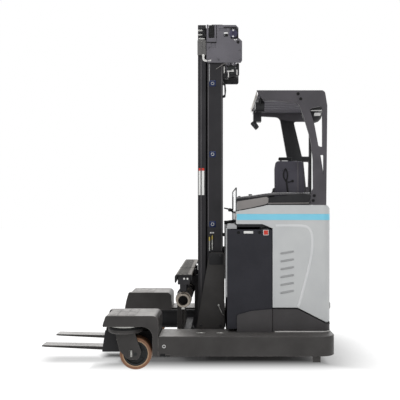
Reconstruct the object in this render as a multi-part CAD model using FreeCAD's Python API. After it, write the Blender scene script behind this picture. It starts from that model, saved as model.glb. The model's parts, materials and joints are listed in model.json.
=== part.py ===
import FreeCAD, Part
import math
import os

V = FreeCAD.Vector

# Multidirectional forklift, in millimetres. The forks point to -X, the cab is at +X, +Z is up.
# The origin is on the floor, below the middle of the box round the parked truck.
# Everything that comes in pairs is modelled on the +Y side and mirrored to the near side, -Y.

# Running clearances
RUN_GAP = 6.0                 # between stages, rollers and rails
BODY_GAP = 10.0               # between larger moving masses
PIN_FIT = 0.08                # radial play of a pin or shaft in its bore
SEAT_GAP = 0.3                # between pieces that touch across a joint

# Overall
HALF_WIDTH = 777.0
REAR_X = 1200.0
FORK_TIP_X = -1200.0

# Load wheels, each steered about a vertical axis ahead of its axle
LOAD_WHEEL_R = 125.0
LOAD_WHEEL_W = 100.0
LOAD_TYRE_T = 27.0
LOAD_AXLE_R = 16.0
LOAD_TRAIL = 83.0
STEER_X = -428.0
SLEW_R = 136.0
SLEW_T = 45.0
FORK_PLATE_T = 12.0
ARCH_REACH = 227.0            # steering axis to the rear wall of the wheel arch
ARCH_R = 80.0
HOUSING_T = 84.0              # roof of the wheel housing
HOUSING_NOSE = 153.0          # steering axis to the housing's lower front edge
HOUSING_CORNER_R = 45.0
ARCH_WALL = 44.0

# Legs and the rails on their inner faces
LEG_BOTTOM_Z = 132.0
LEG_H = 152.0
LEG_BAND = 326.0              # from the clear space between the legs to the outer face
RAIL_DEPTH = 54.0
RAIL_BOTTOM_Z = 100.0
RAIL_H = 170.0
RAIL_WALL = 14.0
RAIL_RAKE = 50.0              # how far the rails' front plates reach ahead at the bottom
FRAME_FRONT_X = 371.0
CHASSIS_CORNER_R = 110.0
PLATE_T = 16.0                # chassis plates and ribs

# Drive wheel and its well
DRIVE_X = 890.0
DRIVE_Y = -70.0
DRIVE_R = 165.0
DRIVE_W = 110.0
DRIVE_TYRE_T = 38.0
DRIVE_AXLE_R = 28.0
DRIVE_PIN_R = 58.0
DRIVE_CLEAR = 15.0            # round the drive wheel as it steers
BRIDGE_T = 20.0
BRIDGE_POST_T = 16.0
MOTOR_R = 110.0
MOTOR_H = 360.0

# Battery and body
BATTERY_L = 353.0
BATTERY_INSET = 5.0           # behind the body's side
BATTERY_H = 784.0
BATTERY_HOLE_R = 13.0
BATTERY_HOLE_SPACING = 167.0
BATTERY_RIM_T = 12.0
BATTERY_RIM_H = 48.0          # trough wall above the cells
TRAY_T = 24.0
TRAY_INSET = 110.0            # battery's side to the tray's edge
BODY_HALF_W = 620.0
PANEL_T = 20.0
BODY_REAR_X = 1190.0
BODY_CORNER_R = 70.0
BODY_RISE = 193.0             # battery lid to the body's top
FLOOR_Z = 356.0
FLOOR_T = 16.0
CAB_GAP = 5.0                 # battery to the cab's front wall
CAB_WALL = 12.0
SEAT_W = 270.0
SEAT_DROP = 200.0             # body's top to the seat plate
SEAT_INSET = 190.0            # body's side to the backrest
PARTITION_X = 1040.0

# Overhead guard
GUARD_RISE = 905.0            # body's top to the roof's top
GUARD_FAR_Y = 210.0
GUARD_T = 30.0
GUARD_FRONT_X = 604.0
GUARD_RAKE = 44.0             # run of the guard's front edge down to its lower corner
GUARD_FOOT_X = 1152.0

# Mast
MAST_SIDE_GAP = 61.0          # rail tip to the mast's side
MAST_REAR_X = 339.0
MAST_WALL = 14.0
OUTER_DEPTH = 129.0
MAST_BOTTOM_Z = 168.0
MAST_TOP_Z = 2780.0
CROSSHEAD_T = 30.0
FLANGE_W = 60.0
REACH = 600.0
STAGE_LIFT = 1750.0
FREE_LIFT = 1900.0
CARRIAGE_T = 20.0
CARRIAGE_SIDE_GAP = 14.0

# Fork carriage, shaft and forks
SHAFT_X = 26.0
SHAFT_Z = 541.0
SHAFT_R = 51.5
SHAFT_BORE_R = 39.0
SHAFT_HALF_L = 678.0
EYE_R = 63.0
FORK_Y = 215.0
FORK_W = 120.0
FORK_T = 45.0
FORK_FACE_X = -48.0
FORK_TOP_Z = 72.0
FORK_TIP_Z = 97.0
FORK_TIP_T = 12.0
COVER_Z = 742.0
COVER_T = 6.0
COVER_LIP = 14.0
TILT_X = 80.0
TILT_Z = 650.0
TILT_PIN_R = 16.0


def slab(plane, corners, low, high):
    """Prism of a closed outline. Each corner is (u, v, radius) in the named plane."""
    place = {
        "xz": lambda u, v, w: V(u, w, v),
        "yz": lambda u, v, w: V(w, u, v),
        "xy": lambda u, v, w: V(u, v, w),
    }[plane]
    ends = []
    count = len(corners)
    for i, (u, v, radius) in enumerate(corners):
        corner = V(u, v, 0)
        back = V(corners[i - 1][0], corners[i - 1][1], 0) - corner
        ahead = V(corners[(i + 1) % count][0], corners[(i + 1) % count][1], 0) - corner
        if radius <= 0:
            ends.append((corner, None, corner))
            continue
        back.normalize()
        ahead.normalize()
        half = back.getAngle(ahead) / 2
        cut = radius / math.tan(half)
        middle = back + ahead
        middle.normalize()
        centre = corner + middle * (radius / math.sin(half))
        ends.append((corner + back * cut, centre - middle * radius, corner + ahead * cut))
    edges = []
    for i, (start, through, stop) in enumerate(ends):
        if through is not None:
            edges.append(Part.Arc(place(start.x, start.y, low), place(through.x, through.y, low),
                                  place(stop.x, stop.y, low)).toShape())
        nxt = ends[(i + 1) % count][0]
        if (nxt - stop).Length > 0.001:
            edges.append(Part.LineSegment(place(stop.x, stop.y, low),
                                          place(nxt.x, nxt.y, low)).toShape())
    face = Part.Face(Part.Wire(edges))
    return face.extrude(place(0, 0, high - low))


def block(x0, x1, y0, y1, z0, z1):
    """Box between two corners."""
    return Part.makeBox(x1 - x0, y1 - y0, z1 - z0, V(x0, y0, z0))


def rod(axis, centre, radius, low, high):
    """Cylinder along x, y or z. The centre holds the two other coordinates in order."""
    a, b = centre
    start = {"x": V(low, a, b), "y": V(a, low, b), "z": V(a, b, low)}[axis]
    along = {"x": V(1, 0, 0), "y": V(0, 1, 0), "z": V(0, 0, 1)}[axis]
    return Part.makeCylinder(radius, high - low, start, along)


def tube(axis, centre, outer, inner, low, high):
    """Round tube along x, y or z."""
    return rod(axis, centre, outer, low, high).cut(rod(axis, centre, inner, low - 1, high + 1))


def fuse(pieces):
    """One solid from pieces that touch."""
    return pieces[0].multiFuse(pieces[1:]).removeSplitter()


def mirrored(shape):
    """The same shape on the other side of the truck."""
    return shape.mirror(V(0, 0, 0), V(0, 1, 0))


def pair(shape):
    """The shape and its mirror image."""
    return [shape, mirrored(shape)]


def chamfered_disc(axis, centre, radius, low, high, chamfer):
    """Disc along y or z whose two rims are bevelled."""
    disc = rod(axis, centre, radius, low, high)
    rims = [e for e in disc.Edges if e.Curve.TypeId == "Part::GeomCircle"]
    return disc.makeChamfer(chamfer, rims)


def save(name, pieces):
    """Write a node's STEP file from one shape or a list of solids."""
    shape = pieces if not isinstance(pieces, list) else Part.makeCompound(pieces)
    shape.exportStep("parts/" + name + ".step")


# Worked-out places
RAIL_TIP_Y = HALF_WIDTH - LEG_BAND
RAIL_WEB_Y = RAIL_TIP_Y + RAIL_DEPTH
MAST_Y = RAIL_TIP_Y - MAST_SIDE_GAP
BATTERY_HALF_W = BODY_HALF_W - BATTERY_INSET
STEER_Y = (HALF_WIDTH + RAIL_TIP_Y) / 2
SLEW_Z = 2 * LOAD_WHEEL_R + 40
ARCH_Z = SLEW_Z + SLEW_T + 21
HOUSING_TOP_Z = ARCH_Z + HOUSING_T
ARCH_X = STEER_X + ARCH_REACH
LEG_FRONT_X = ARCH_X + ARCH_WALL
DECK_Z = LEG_BOTTOM_Z + LEG_H
RAIL_FRONT_X = STEER_X - HOUSING_NOSE - 9
LOAD_AXLE_X = STEER_X + LOAD_TRAIL
BATTERY_REAR_X = FRAME_FRONT_X + BATTERY_L
BATTERY_Z = DECK_Z + TRAY_T
BATTERY_TOP_Z = BATTERY_Z + BATTERY_H
BODY_TOP_Z = BATTERY_TOP_Z + BODY_RISE
SEAT_Z = BODY_TOP_Z - SEAT_DROP
GUARD_TOP_Z = BODY_TOP_Z + GUARD_RISE
CAB_FRONT_X = BATTERY_REAR_X + CAB_GAP
WELL_R = math.hypot(DRIVE_R, DRIVE_W / 2) + DRIVE_CLEAR
HALF_CHORD = math.sqrt(DRIVE_R ** 2 - (DECK_Z - PLATE_T - DRIVE_R) ** 2)
OPENING_R = math.hypot(HALF_CHORD, DRIVE_W / 2) + BODY_GAP
POST_Y = OPENING_R + 2
HOOD_T = 8.0
HOOD_FAR_Y = DRIVE_Y + POST_Y + BRIDGE_POST_T + BODY_GAP + HOOD_T
BRIDGE_Z = 2 * DRIVE_R + 40
CARRIAGE_Y = RAIL_TIP_Y - CARRIAGE_SIDE_GAP
CARRIAGE_IN_Y = CARRIAGE_Y - CARRIAGE_T
OUTER_FRONT_X = MAST_REAR_X - OUTER_DEPTH
OUTER_TIP_Y = MAST_Y - MAST_WALL - FLANGE_W
MID_WEB_Y = OUTER_TIP_Y - BODY_GAP
MID_WEB_T = 12.0
MID_FLANGE_X = OUTER_FRONT_X + MAST_WALL + 8
MID_CROSS_X = MID_FLANGE_X + MAST_WALL
MID_CROSS_T = 10.0
MID_STEP_X = OUTER_FRONT_X - 12
MID_FRONT_X = MID_STEP_X - 67
MID_FACE_Y = MAST_Y - 4
MID_LIP_Y = MID_FACE_Y - MID_WEB_T - 44
INNER_WEB_Y = MID_WEB_Y - MID_WEB_T - BODY_GAP
INNER_REAR_X = MID_CROSS_X - RUN_GAP
INNER_FRONT_X = MID_FRONT_X + 5
INNER_TIP_Y = INNER_WEB_Y - MID_WEB_T - FLANGE_W
CYLINDER_X = MID_CROSS_X + MID_CROSS_T + 39
CYLINDER_Y = OUTER_TIP_Y - 54
CYLINDER_R = 31.0
LIFT_ROD_R = 20.0
OUTER_TOP_Z = MAST_TOP_Z - CROSSHEAD_T - BODY_GAP
GUIDE_Y = INNER_TIP_Y - 7
GUIDE_T = 15.0
FREE_X = MID_CROSS_X - 56
FREE_ROD_R = 22.0
PAD_H = 120.0
CAB_IN_X = CAB_FRONT_X + CAB_WALL + SEAT_GAP
TILT_BACK_X = TILT_X + 15


FRAME_BAYS_X = 3
FRAME_BAYS_Y = 4


def chassis_frame():
    """Centre of the chassis between the legs, with the drive well, its bridge and the battery tray."""
    half = RAIL_WEB_Y
    body = block(FRAME_FRONT_X, REAR_X, -half, half, LEG_BOTTOM_Z, DECK_Z)
    pitch_x = (REAR_X - FRAME_FRONT_X - PLATE_T) / FRAME_BAYS_X
    pitch_y = (2 * half - PLATE_T) / FRAME_BAYS_Y
    for i in range(FRAME_BAYS_X):
        for j in range(FRAME_BAYS_Y):
            x = FRAME_FRONT_X + PLATE_T + i * pitch_x
            y = -half + PLATE_T + j * pitch_y
            body = body.cut(block(x, x + pitch_x - PLATE_T, y, y + pitch_y - PLATE_T,
                                  LEG_BOTTOM_Z - 1, DECK_Z - PLATE_T))
    ring = rod("z", (DRIVE_X, DRIVE_Y), WELL_R + PLATE_T, LEG_BOTTOM_Z, DECK_Z)
    tray_half = BATTERY_HALF_W - TRAY_INSET
    tray = block(FRAME_FRONT_X, BATTERY_REAR_X, -tray_half, tray_half, DECK_Z, BATTERY_Z)
    bridge_y = POST_Y + BRIDGE_POST_T
    bridge = block(DRIVE_X - MOTOR_R, DRIVE_X + MOTOR_R, DRIVE_Y - bridge_y, DRIVE_Y + bridge_y,
                   BRIDGE_Z, BRIDGE_Z + BRIDGE_T)
    posts = [block(DRIVE_X - MOTOR_R / 2, DRIVE_X + MOTOR_R / 2, DRIVE_Y + low, DRIVE_Y + low + BRIDGE_POST_T,
                   DECK_Z, BRIDGE_Z) for low in (-bridge_y, POST_Y)]
    well = rod("z", (DRIVE_X, DRIVE_Y), WELL_R, LEG_BOTTOM_Z - 1, DECK_Z - PLATE_T)
    opening = rod("z", (DRIVE_X, DRIVE_Y), OPENING_R, LEG_BOTTOM_Z, DECK_Z + 1)
    bearing = rod("z", (DRIVE_X, DRIVE_Y), DRIVE_PIN_R + PIN_FIT, BRIDGE_Z - 1, BRIDGE_Z + BRIDGE_T + 1)
    return fuse([body, ring, tray, bridge] + posts).cut(well).cut(opening).cut(bearing)


def leg():
    """Side beam from the wheel arch to the back, with a rounded rear corner and a small foot."""
    outline = [
        # x, y, corner radius
        (LEG_FRONT_X, RAIL_WEB_Y, 0),
        (REAR_X, RAIL_WEB_Y, 0),
        (REAR_X, HALF_WIDTH, CHASSIS_CORNER_R),
        (LEG_FRONT_X, HALF_WIDTH, 0),
    ]
    beam = slab("xy", outline, LEG_BOTTOM_Z, DECK_Z)
    top_edges = [e for e in beam.Edges if e.BoundBox.ZMin > DECK_Z - 1 and e.BoundBox.YMax > HALF_WIDTH - 1]
    beam = beam.makeFillet(8.0, top_edges)
    foot = block(REAR_X - 179, REAR_X - 118, HALF_WIDTH - 75, HALF_WIDTH - 20, LEG_BOTTOM_Z - 50, LEG_BOTTOM_Z)
    notch_x = LEG_FRONT_X + 30
    notch = block(notch_x, notch_x + 60, HALF_WIDTH - 30, HALF_WIDTH + 1, LEG_BOTTOM_Z - 1, LEG_BOTTOM_Z + 12)
    pocket = block(LEG_FRONT_X + PLATE_T, REAR_X - 200, RAIL_WEB_Y + PLATE_T, HALF_WIDTH - 2 * PLATE_T,
                   LEG_BOTTOM_Z - 1, DECK_Z - PLATE_T)
    return fuse([beam, foot]).cut(notch).cut(pocket)


def guide_rail():
    """Channel that opens inwards and carries the reach carriage's rollers."""
    top = RAIL_BOTTOM_Z + RAIL_H
    profile = [
        # y, z, corner radius
        (RAIL_TIP_Y, RAIL_BOTTOM_Z, 0),
        (RAIL_WEB_Y, RAIL_BOTTOM_Z, 0),
        (RAIL_WEB_Y, top, 0),
        (RAIL_TIP_Y, top, 0),
        (RAIL_TIP_Y, top - RAIL_WALL, 0),
        (RAIL_WEB_Y - RAIL_WALL + 2, top - RAIL_WALL, 0),
        (RAIL_WEB_Y - RAIL_WALL + 2, RAIL_BOTTOM_Z + RAIL_WALL, 0),
        (RAIL_TIP_Y, RAIL_BOTTOM_Z + RAIL_WALL, 0),
    ]
    channel = slab("yz", profile, RAIL_FRONT_X, FRAME_FRONT_X)
    stop_outline = [
        # x, z, corner radius
        (RAIL_FRONT_X - RAIL_RAKE, RAIL_BOTTOM_Z, 8),
        (RAIL_FRONT_X - RAIL_RAKE / 2, top, 0),
        (RAIL_FRONT_X + 14, top, 0),
        (RAIL_FRONT_X + 14, RAIL_BOTTOM_Z, 0),
    ]
    stop = slab("xz", stop_outline, RAIL_TIP_Y, RAIL_WEB_Y)
    return fuse([channel, stop])


def wheel_housing():
    """Roof over a load wheel with a sloping nose, an arch at the back and an inner wall on the rail."""
    nose_x = STEER_X - HOUSING_NOSE
    roof_outline = [
        # x, z, corner radius
        (nose_x + 24, HOUSING_TOP_Z, 12),
        (nose_x, ARCH_Z + 12, 6),
        (nose_x + 4, ARCH_Z, 0),
        (ARCH_X, ARCH_Z, ARCH_R),
        (ARCH_X, LEG_BOTTOM_Z, 0),
        (LEG_FRONT_X, LEG_BOTTOM_Z, 0),
        (LEG_FRONT_X, HOUSING_TOP_Z, HOUSING_CORNER_R),
    ]
    roof = slab("xz", roof_outline, RAIL_WEB_Y, HALF_WIDTH)
    inner_outline = [
        # x, z, corner radius
        (nose_x + 6, HOUSING_TOP_Z, 12),
        (nose_x - 18, ARCH_Z, 0),
        (LEG_FRONT_X, ARCH_Z, 0),
        (LEG_FRONT_X, HOUSING_TOP_Z, HOUSING_CORNER_R),
    ]
    inner_roof = slab("xz", inner_outline, RAIL_TIP_Y, RAIL_WEB_Y)
    rail_top = RAIL_BOTTOM_Z + RAIL_H
    wall_outline = [
        # x, z, corner radius
        (nose_x - 18, ARCH_Z, 0),
        (RAIL_FRONT_X - RAIL_RAKE / 2, rail_top, 0),
        (LEG_FRONT_X, rail_top, 0),
        (LEG_FRONT_X, ARCH_Z, 0),
    ]
    wall = slab("xz", wall_outline, RAIL_TIP_Y, RAIL_TIP_Y + 12)
    shell = fuse([roof, inner_roof, wall])
    pivot = rod("z", (STEER_X, STEER_Y), 25 + PIN_FIT, ARCH_Z - 1, ARCH_Z + 45)
    return shell.cut(pivot)


def steer_fork():
    """Slewing disc with two tapered plates that carry a trailing load wheel on its axle."""
    disc = chamfered_disc("z", (STEER_X, STEER_Y), SLEW_R, SLEW_Z, SLEW_Z + SLEW_T, 8.0)
    boss = rod("z", (STEER_X, STEER_Y), 62, SLEW_Z + SLEW_T, ARCH_Z - SEAT_GAP)
    pin = rod("z", (STEER_X, STEER_Y), 25, ARCH_Z - SEAT_GAP, ARCH_Z + 40)
    plate_outline = [
        # x, z, corner radius
        (STEER_X - 72, SLEW_Z, 0),
        (STEER_X + 79, SLEW_Z, 0),
        (LOAD_AXLE_X + 47, LOAD_WHEEL_R + 14, 30),
        (LOAD_AXLE_X + 20, LOAD_WHEEL_R - 44, 24),
        (LOAD_AXLE_X - 60, LOAD_WHEEL_R - 40, 40),
        (LOAD_AXLE_X - 124, LOAD_WHEEL_R + 28, 20),
    ]
    inner = LOAD_WHEEL_W / 2 + 7
    plates = [slab("xz", plate_outline, STEER_Y + side * (inner + FORK_PLATE_T / 2) - FORK_PLATE_T / 2,
                   STEER_Y + side * (inner + FORK_PLATE_T / 2) + FORK_PLATE_T / 2) for side in (-1, 1)]
    web = block(STEER_X - 66, STEER_X - 52, STEER_Y - inner, STEER_Y + inner, SLEW_Z - 58, SLEW_Z)
    axle = rod("y", (LOAD_AXLE_X, LOAD_WHEEL_R), LOAD_AXLE_R, STEER_Y - inner - FORK_PLATE_T,
               STEER_Y + inner + FORK_PLATE_T)
    keeper = block(LOAD_AXLE_X - 48, LOAD_AXLE_X - 36, STEER_Y + inner + FORK_PLATE_T,
                   STEER_Y + inner + FORK_PLATE_T + 5, LOAD_WHEEL_R - 24, LOAD_WHEEL_R + 30)
    return fuse([disc, boss, pin, web, axle, keeper] + plates)


def load_wheel():
    """Dished wheel centre on the fork's axle."""
    half = LOAD_WHEEL_W / 2
    rim = LOAD_WHEEL_R - LOAD_TYRE_T
    hub = tube("y", (LOAD_AXLE_X, LOAD_WHEEL_R), rim, LOAD_AXLE_R + PIN_FIT, STEER_Y - half, STEER_Y + half)
    for low in (STEER_Y - half - 1, STEER_Y + half - 17):
        dish = tube("y", (LOAD_AXLE_X, LOAD_WHEEL_R), rim - 16, LOAD_AXLE_R + 26, low, low + 18)
        hub = hub.cut(dish)
    return hub


def tyre(axis_centre, outer, thickness, middle, width, chamfer):
    """Solid tyre ring with bevelled shoulders round a wheel on a Y axle."""
    ring = chamfered_disc("y", axis_centre, outer, middle - width / 2, middle + width / 2, chamfer)
    return ring.cut(rod("y", axis_centre, outer - thickness, middle - width, middle + width))


def drive_yoke():
    """Slewing plate with a gear case on one side that holds the drive wheel's axle."""
    plate_z = 2 * DRIVE_R + 12
    plate = rod("z", (DRIVE_X, DRIVE_Y), 125, plate_z, BRIDGE_Z - RUN_GAP)
    pin = rod("z", (DRIVE_X, DRIVE_Y), DRIVE_PIN_R, BRIDGE_Z - RUN_GAP, BRIDGE_Z + BRIDGE_T)
    case_y = DRIVE_Y + DRIVE_W / 2 + 8
    case_outline = [
        # x, z, corner radius
        (DRIVE_X - 70, plate_z + 5, 0),
        (DRIVE_X + 70, plate_z + 5, 0),
        (DRIVE_X + 70, DRIVE_R - 70, 60),
        (DRIVE_X - 70, DRIVE_R - 70, 60),
    ]
    case = slab("xz", case_outline, case_y, case_y + 48)
    axle = rod("y", (DRIVE_X, DRIVE_R), DRIVE_AXLE_R, DRIVE_Y - DRIVE_W / 2, case_y)
    return fuse([plate, pin, case, axle])


def drive_wheel():
    """Drive wheel centre with a recess in its outer face."""
    half = DRIVE_W / 2
    rim = DRIVE_R - DRIVE_TYRE_T
    hub = tube("y", (DRIVE_X, DRIVE_R), rim, DRIVE_AXLE_R + PIN_FIT, DRIVE_Y - half, DRIVE_Y + half)
    return hub.cut(tube("y", (DRIVE_X, DRIVE_R), rim - 20, DRIVE_AXLE_R + 30, DRIVE_Y - half - 1, DRIVE_Y - half + 25))


def battery():
    """Battery at its real size, the trough's rim open at the top with two lifting holes in each end."""
    case = block(FRAME_FRONT_X, BATTERY_REAR_X, -BATTERY_HALF_W, BATTERY_HALF_W, BATTERY_Z, BATTERY_TOP_Z)
    rim = block(FRAME_FRONT_X + BATTERY_RIM_T, BATTERY_REAR_X - BATTERY_RIM_T, -BATTERY_HALF_W + BATTERY_RIM_T,
                BATTERY_HALF_W - BATTERY_RIM_T, BATTERY_TOP_Z - BATTERY_RIM_H, BATTERY_TOP_Z + 1)
    case = case.cut(rim)
    middle = (FRAME_FRONT_X + BATTERY_REAR_X) / 2 - 4
    for side in (-1, 1):
        centre = (middle + side * BATTERY_HOLE_SPACING / 2, BATTERY_TOP_Z - BATTERY_RIM_H / 2)
        case = case.cut(rod("y", centre, BATTERY_HOLE_R, -BATTERY_HALF_W - 1, BATTERY_HALF_W + 1))
    return case


def body_wrap(outer_y, wall, low, high, front_x):
    """Upright skin along the truck's side that turns the rear corner with a radius."""
    inner_y = outer_y - wall
    inner_x = BODY_REAR_X - wall
    outline = [
        # x, y, corner radius
        (front_x, outer_y, 0),
        (BODY_REAR_X, outer_y, BODY_CORNER_R),
        (BODY_REAR_X, outer_y - 120, 0),
        (inner_x, outer_y - 120, 0),
        (inner_x, inner_y, BODY_CORNER_R - wall),
        (front_x, inner_y, 0),
    ]
    return slab("xy", outline, low, high)


SIDE_FRONT_X = 441.0
REAR_EDGE = 30.0              # slope of the body's rear top edge
VENT_ROWS = 6
VENT_PITCH = 62.0


def side_skin():
    """Light side panel with its raised front wing over the battery and its slanted lower edge."""
    outline = [
        # x, z, corner radius
        (CAB_FRONT_X, DECK_Z + 193, 0),
        (925, DECK_Z + 193, 60),
        (1159, DECK_Z + 74, 25),
        (BODY_REAR_X + 10, DECK_Z + 90, 0),
        (BODY_REAR_X + 10, BODY_TOP_Z - REAR_EDGE - 10, 40),
        (BODY_REAR_X - REAR_EDGE, BODY_TOP_Z, 20),
        (700, BODY_TOP_Z, 200),
        (SIDE_FRONT_X, BODY_TOP_Z - 50, 10),
        (SIDE_FRONT_X, BATTERY_TOP_Z + 43, 10),
        (649, BATTERY_TOP_Z + 43, 40),
        (CAB_FRONT_X, BATTERY_TOP_Z + 9, 0),
    ]
    skin = body_wrap(BODY_HALF_W, PANEL_T, DECK_Z, BODY_TOP_Z, SIDE_FRONT_X - 10)
    return skin.common(slab("xz", outline, BODY_HALF_W - 400, BODY_HALF_W + 10))


def side_panel_near():
    """Closed operator's-back side with a column of slanted cooling slots."""
    skin = mirrored(side_skin())
    for row in range(VENT_ROWS):
        z = DECK_Z + 300 + row * VENT_PITCH
        slot = slab("xz", [(790, z, 7), (896, z + 18, 7), (896, z + 34, 7), (790, z + 16, 7)],
                    -BODY_HALF_W - 1, -BODY_HALF_W + PANEL_T + 1)
        skin = skin.cut(slot)
    return skin


def side_panel_far():
    """Entry side: the wing over the battery and the rear quarter, open between them."""
    entry = block(BATTERY_REAR_X - 4, PARTITION_X, BODY_HALF_W - 400, BODY_HALF_W + 10, DECK_Z, BODY_TOP_Z + 1)
    return side_skin().cut(entry).Solids


def skirts():
    """Lower skirts of both sides: the step ahead of the cab and the panel below it."""
    step_outline = [
        # x, z, corner radius
        (SIDE_FRONT_X + 6, DECK_Z + SEAT_GAP, 0),
        (CAB_FRONT_X - 4, DECK_Z + SEAT_GAP, 0),
        (CAB_FRONT_X - 4, DECK_Z + 180, 0),
        (570, DECK_Z + 168, 200),
        (SIDE_FRONT_X + 6, DECK_Z + 136, 26),
    ]
    rear_outline = [
        # x, z, corner radius
        (CAB_FRONT_X, DECK_Z, 0),
        (BODY_REAR_X + 10, DECK_Z, 0),
        (BODY_REAR_X + 10, DECK_Z + 78, 0),
        (1159, DECK_Z + 62, 25),
        (925, DECK_Z + 181, 60),
        (CAB_FRONT_X, DECK_Z + 181, 0),
    ]
    step = slab("xz", step_outline, BATTERY_HALF_W + SEAT_GAP, BATTERY_HALF_W + 13)
    rear = body_wrap(BODY_HALF_W, PANEL_T, DECK_Z, BODY_TOP_Z, CAB_FRONT_X)
    rear = rear.common(slab("xz", rear_outline, BODY_HALF_W - 400, BODY_HALF_W + 10))
    return pair(step) + pair(rear)


def cab_floor():
    """Foot plate of the operator, standing on the chassis by its two folded edges."""
    front_y = HOOD_FAR_Y + SEAT_GAP
    inner = BODY_HALF_W - PANEL_T - 6
    rear_x = PARTITION_X - SEAT_GAP
    plate = block(CAB_IN_X, rear_x, front_y, inner, FLOOR_Z - FLOOR_T, FLOOR_Z)
    edges = [block(CAB_IN_X, rear_x, y, y + 12, DECK_Z, FLOOR_Z) for y in (front_y, inner - 12)]
    return fuse([plate] + edges)


def drive_motor():
    """Upright drive motor as a plain cylinder on the bridge over the drive wheel."""
    base = BRIDGE_Z + BRIDGE_T + SEAT_GAP
    return rod("z", (DRIVE_X, DRIVE_Y), MOTOR_R, base, base + MOTOR_H)


TOWER_BAYS = 5


def rear_cover():
    """Full-width tower behind the operator with the partition towards the cab."""
    half = BODY_HALF_W - PANEL_T - SEAT_GAP
    inner_x = BODY_REAR_X - PANEL_T - SEAT_GAP
    outline = [
        # x, y, corner radius
        (PARTITION_X, -half, 0),
        (inner_x, -half, BODY_CORNER_R - PANEL_T),
        (inner_x, half, BODY_CORNER_R - PANEL_T),
        (PARTITION_X, half, 0),
    ]
    tower = slab("xy", outline, DECK_Z, BODY_TOP_Z)
    pitch = (2 * half - PANEL_T) / TOWER_BAYS
    for i in range(TOWER_BAYS):
        y = -half + PANEL_T + i * pitch
        inset = BODY_CORNER_R / 2 if i in (0, TOWER_BAYS - 1) else 0
        tower = tower.cut(block(PARTITION_X + 12, inner_x - 12 - inset, y, y + pitch - PANEL_T,
                                DECK_Z - 1, BODY_TOP_Z - PANEL_T))
    back_half = BODY_HALF_W - 120 - SEAT_GAP
    back = block(inner_x, BODY_REAR_X - 2, -back_half, back_half, DECK_Z + 74, BODY_TOP_Z)
    profile = [
        # x, z, corner radius
        (PARTITION_X, DECK_Z, 0),
        (BODY_REAR_X + 10, DECK_Z, 0),
        (BODY_REAR_X + 10, BODY_TOP_Z - REAR_EDGE - 10, 40),
        (BODY_REAR_X - REAR_EDGE, BODY_TOP_Z, 20),
        (PARTITION_X, BODY_TOP_Z, 0),
    ]
    return fuse([tower, back]).common(slab("xz", profile, -BODY_HALF_W, BODY_HALF_W))


HAND_WHEEL_AT = (600.0, 90.0)
COLUMN_Z = BODY_TOP_Z - 22


def console():
    """Front wall of the cab and the deck over the battery with instrument hump and lock block."""
    half = BODY_HALF_W - PANEL_T - SEAT_GAP
    wall = block(CAB_FRONT_X, CAB_FRONT_X + CAB_WALL, -half, half, DECK_Z, BODY_TOP_Z - 75)
    deck_outline = [
        # x, z, corner radius
        (SIDE_FRONT_X + 6, BATTERY_TOP_Z + 20, 0),
        (CAB_FRONT_X, BATTERY_TOP_Z + 20, 0),
        (CAB_FRONT_X, BODY_TOP_Z - 75, 0),
        (690, BODY_TOP_Z - 60, 20),
        (520, BODY_TOP_Z - 20, 30),
        (SIDE_FRONT_X + 6, BODY_TOP_Z - 55, 10),
    ]
    deck = slab("xz", deck_outline, -half, half)
    hollow = block(SIDE_FRONT_X + 20, CAB_FRONT_X - CAB_WALL, -half + CAB_WALL, half - CAB_WALL,
                   BATTERY_TOP_Z + 19, BODY_TOP_Z - 90)
    boss = rod("z", HAND_WHEEL_AT, 36, BODY_TOP_Z - 85, COLUMN_Z - SEAT_GAP)
    return fuse([wall, deck.cut(hollow), boss])


def steering_wheel():
    """Small steering wheel with three spokes on an upright column."""
    centre = V(HAND_WHEEL_AT[0], HAND_WHEEL_AT[1], COLUMN_Z + 82)
    ring = Part.makeTorus(120, 11, centre)
    hub = rod("z", (centre.x, centre.y), 30, centre.z - 18, centre.z + 14)
    spokes = [rod("x", (centre.y, centre.z), 8, centre.x, centre.x + 122)]
    for turn in (120, 240):
        spoke = spokes[0].copy()
        spoke.rotate(centre, V(0, 0, 1), turn)
        spokes.append(spoke)
    knob = rod("z", (centre.x, centre.y + 120), 17, centre.z, centre.z + 48)
    column = rod("z", (centre.x, centre.y), 18, COLUMN_Z, centre.z - 18)
    return fuse([ring, hub, knob, column] + spokes)


SEAT_MID_X = (CAB_IN_X + PARTITION_X) / 2 - 10
SEAT_BACK_Y = SEAT_INSET - BODY_HALF_W


def seat_base():
    """Hood shell over the drive motor with the seat plate on top."""
    x0, x1 = CAB_IN_X, PARTITION_X - SEAT_GAP
    y0, y1 = -(BODY_HALF_W - PANEL_T - SEAT_GAP), HOOD_FAR_Y
    hood = block(x0, x1, y0, y1, DECK_Z, SEAT_Z - 30)
    inside = block(x0 + HOOD_T, x1 - HOOD_T, y0 + HOOD_T, y1 - HOOD_T, DECK_Z - 1, SEAT_Z - 30 - HOOD_T)
    plate = block(SEAT_MID_X - SEAT_W / 2 + 20, SEAT_MID_X + SEAT_W / 2 - 20, SEAT_BACK_Y - 20,
                  SEAT_BACK_Y + 460, SEAT_Z - 30, SEAT_Z - SEAT_GAP)
    post = block(SEAT_MID_X - 50, SEAT_MID_X + 50, SEAT_BACK_Y - 70, SEAT_BACK_Y - 44, SEAT_Z - 30, SEAT_Z + 260)
    return fuse([hood.cut(inside), plate, post])


def seat_cushion():
    """Plain closed form of the seat cushion."""
    half = SEAT_W / 2
    outline = [
        # x, y, corner radius
        (SEAT_MID_X - half, SEAT_BACK_Y, 40),
        (SEAT_MID_X + half, SEAT_BACK_Y, 40),
        (SEAT_MID_X + half, SEAT_BACK_Y + 450, 70),
        (SEAT_MID_X - half, SEAT_BACK_Y + 450, 70),
    ]
    return slab("xy", outline, SEAT_Z, SEAT_Z + 90)


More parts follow.
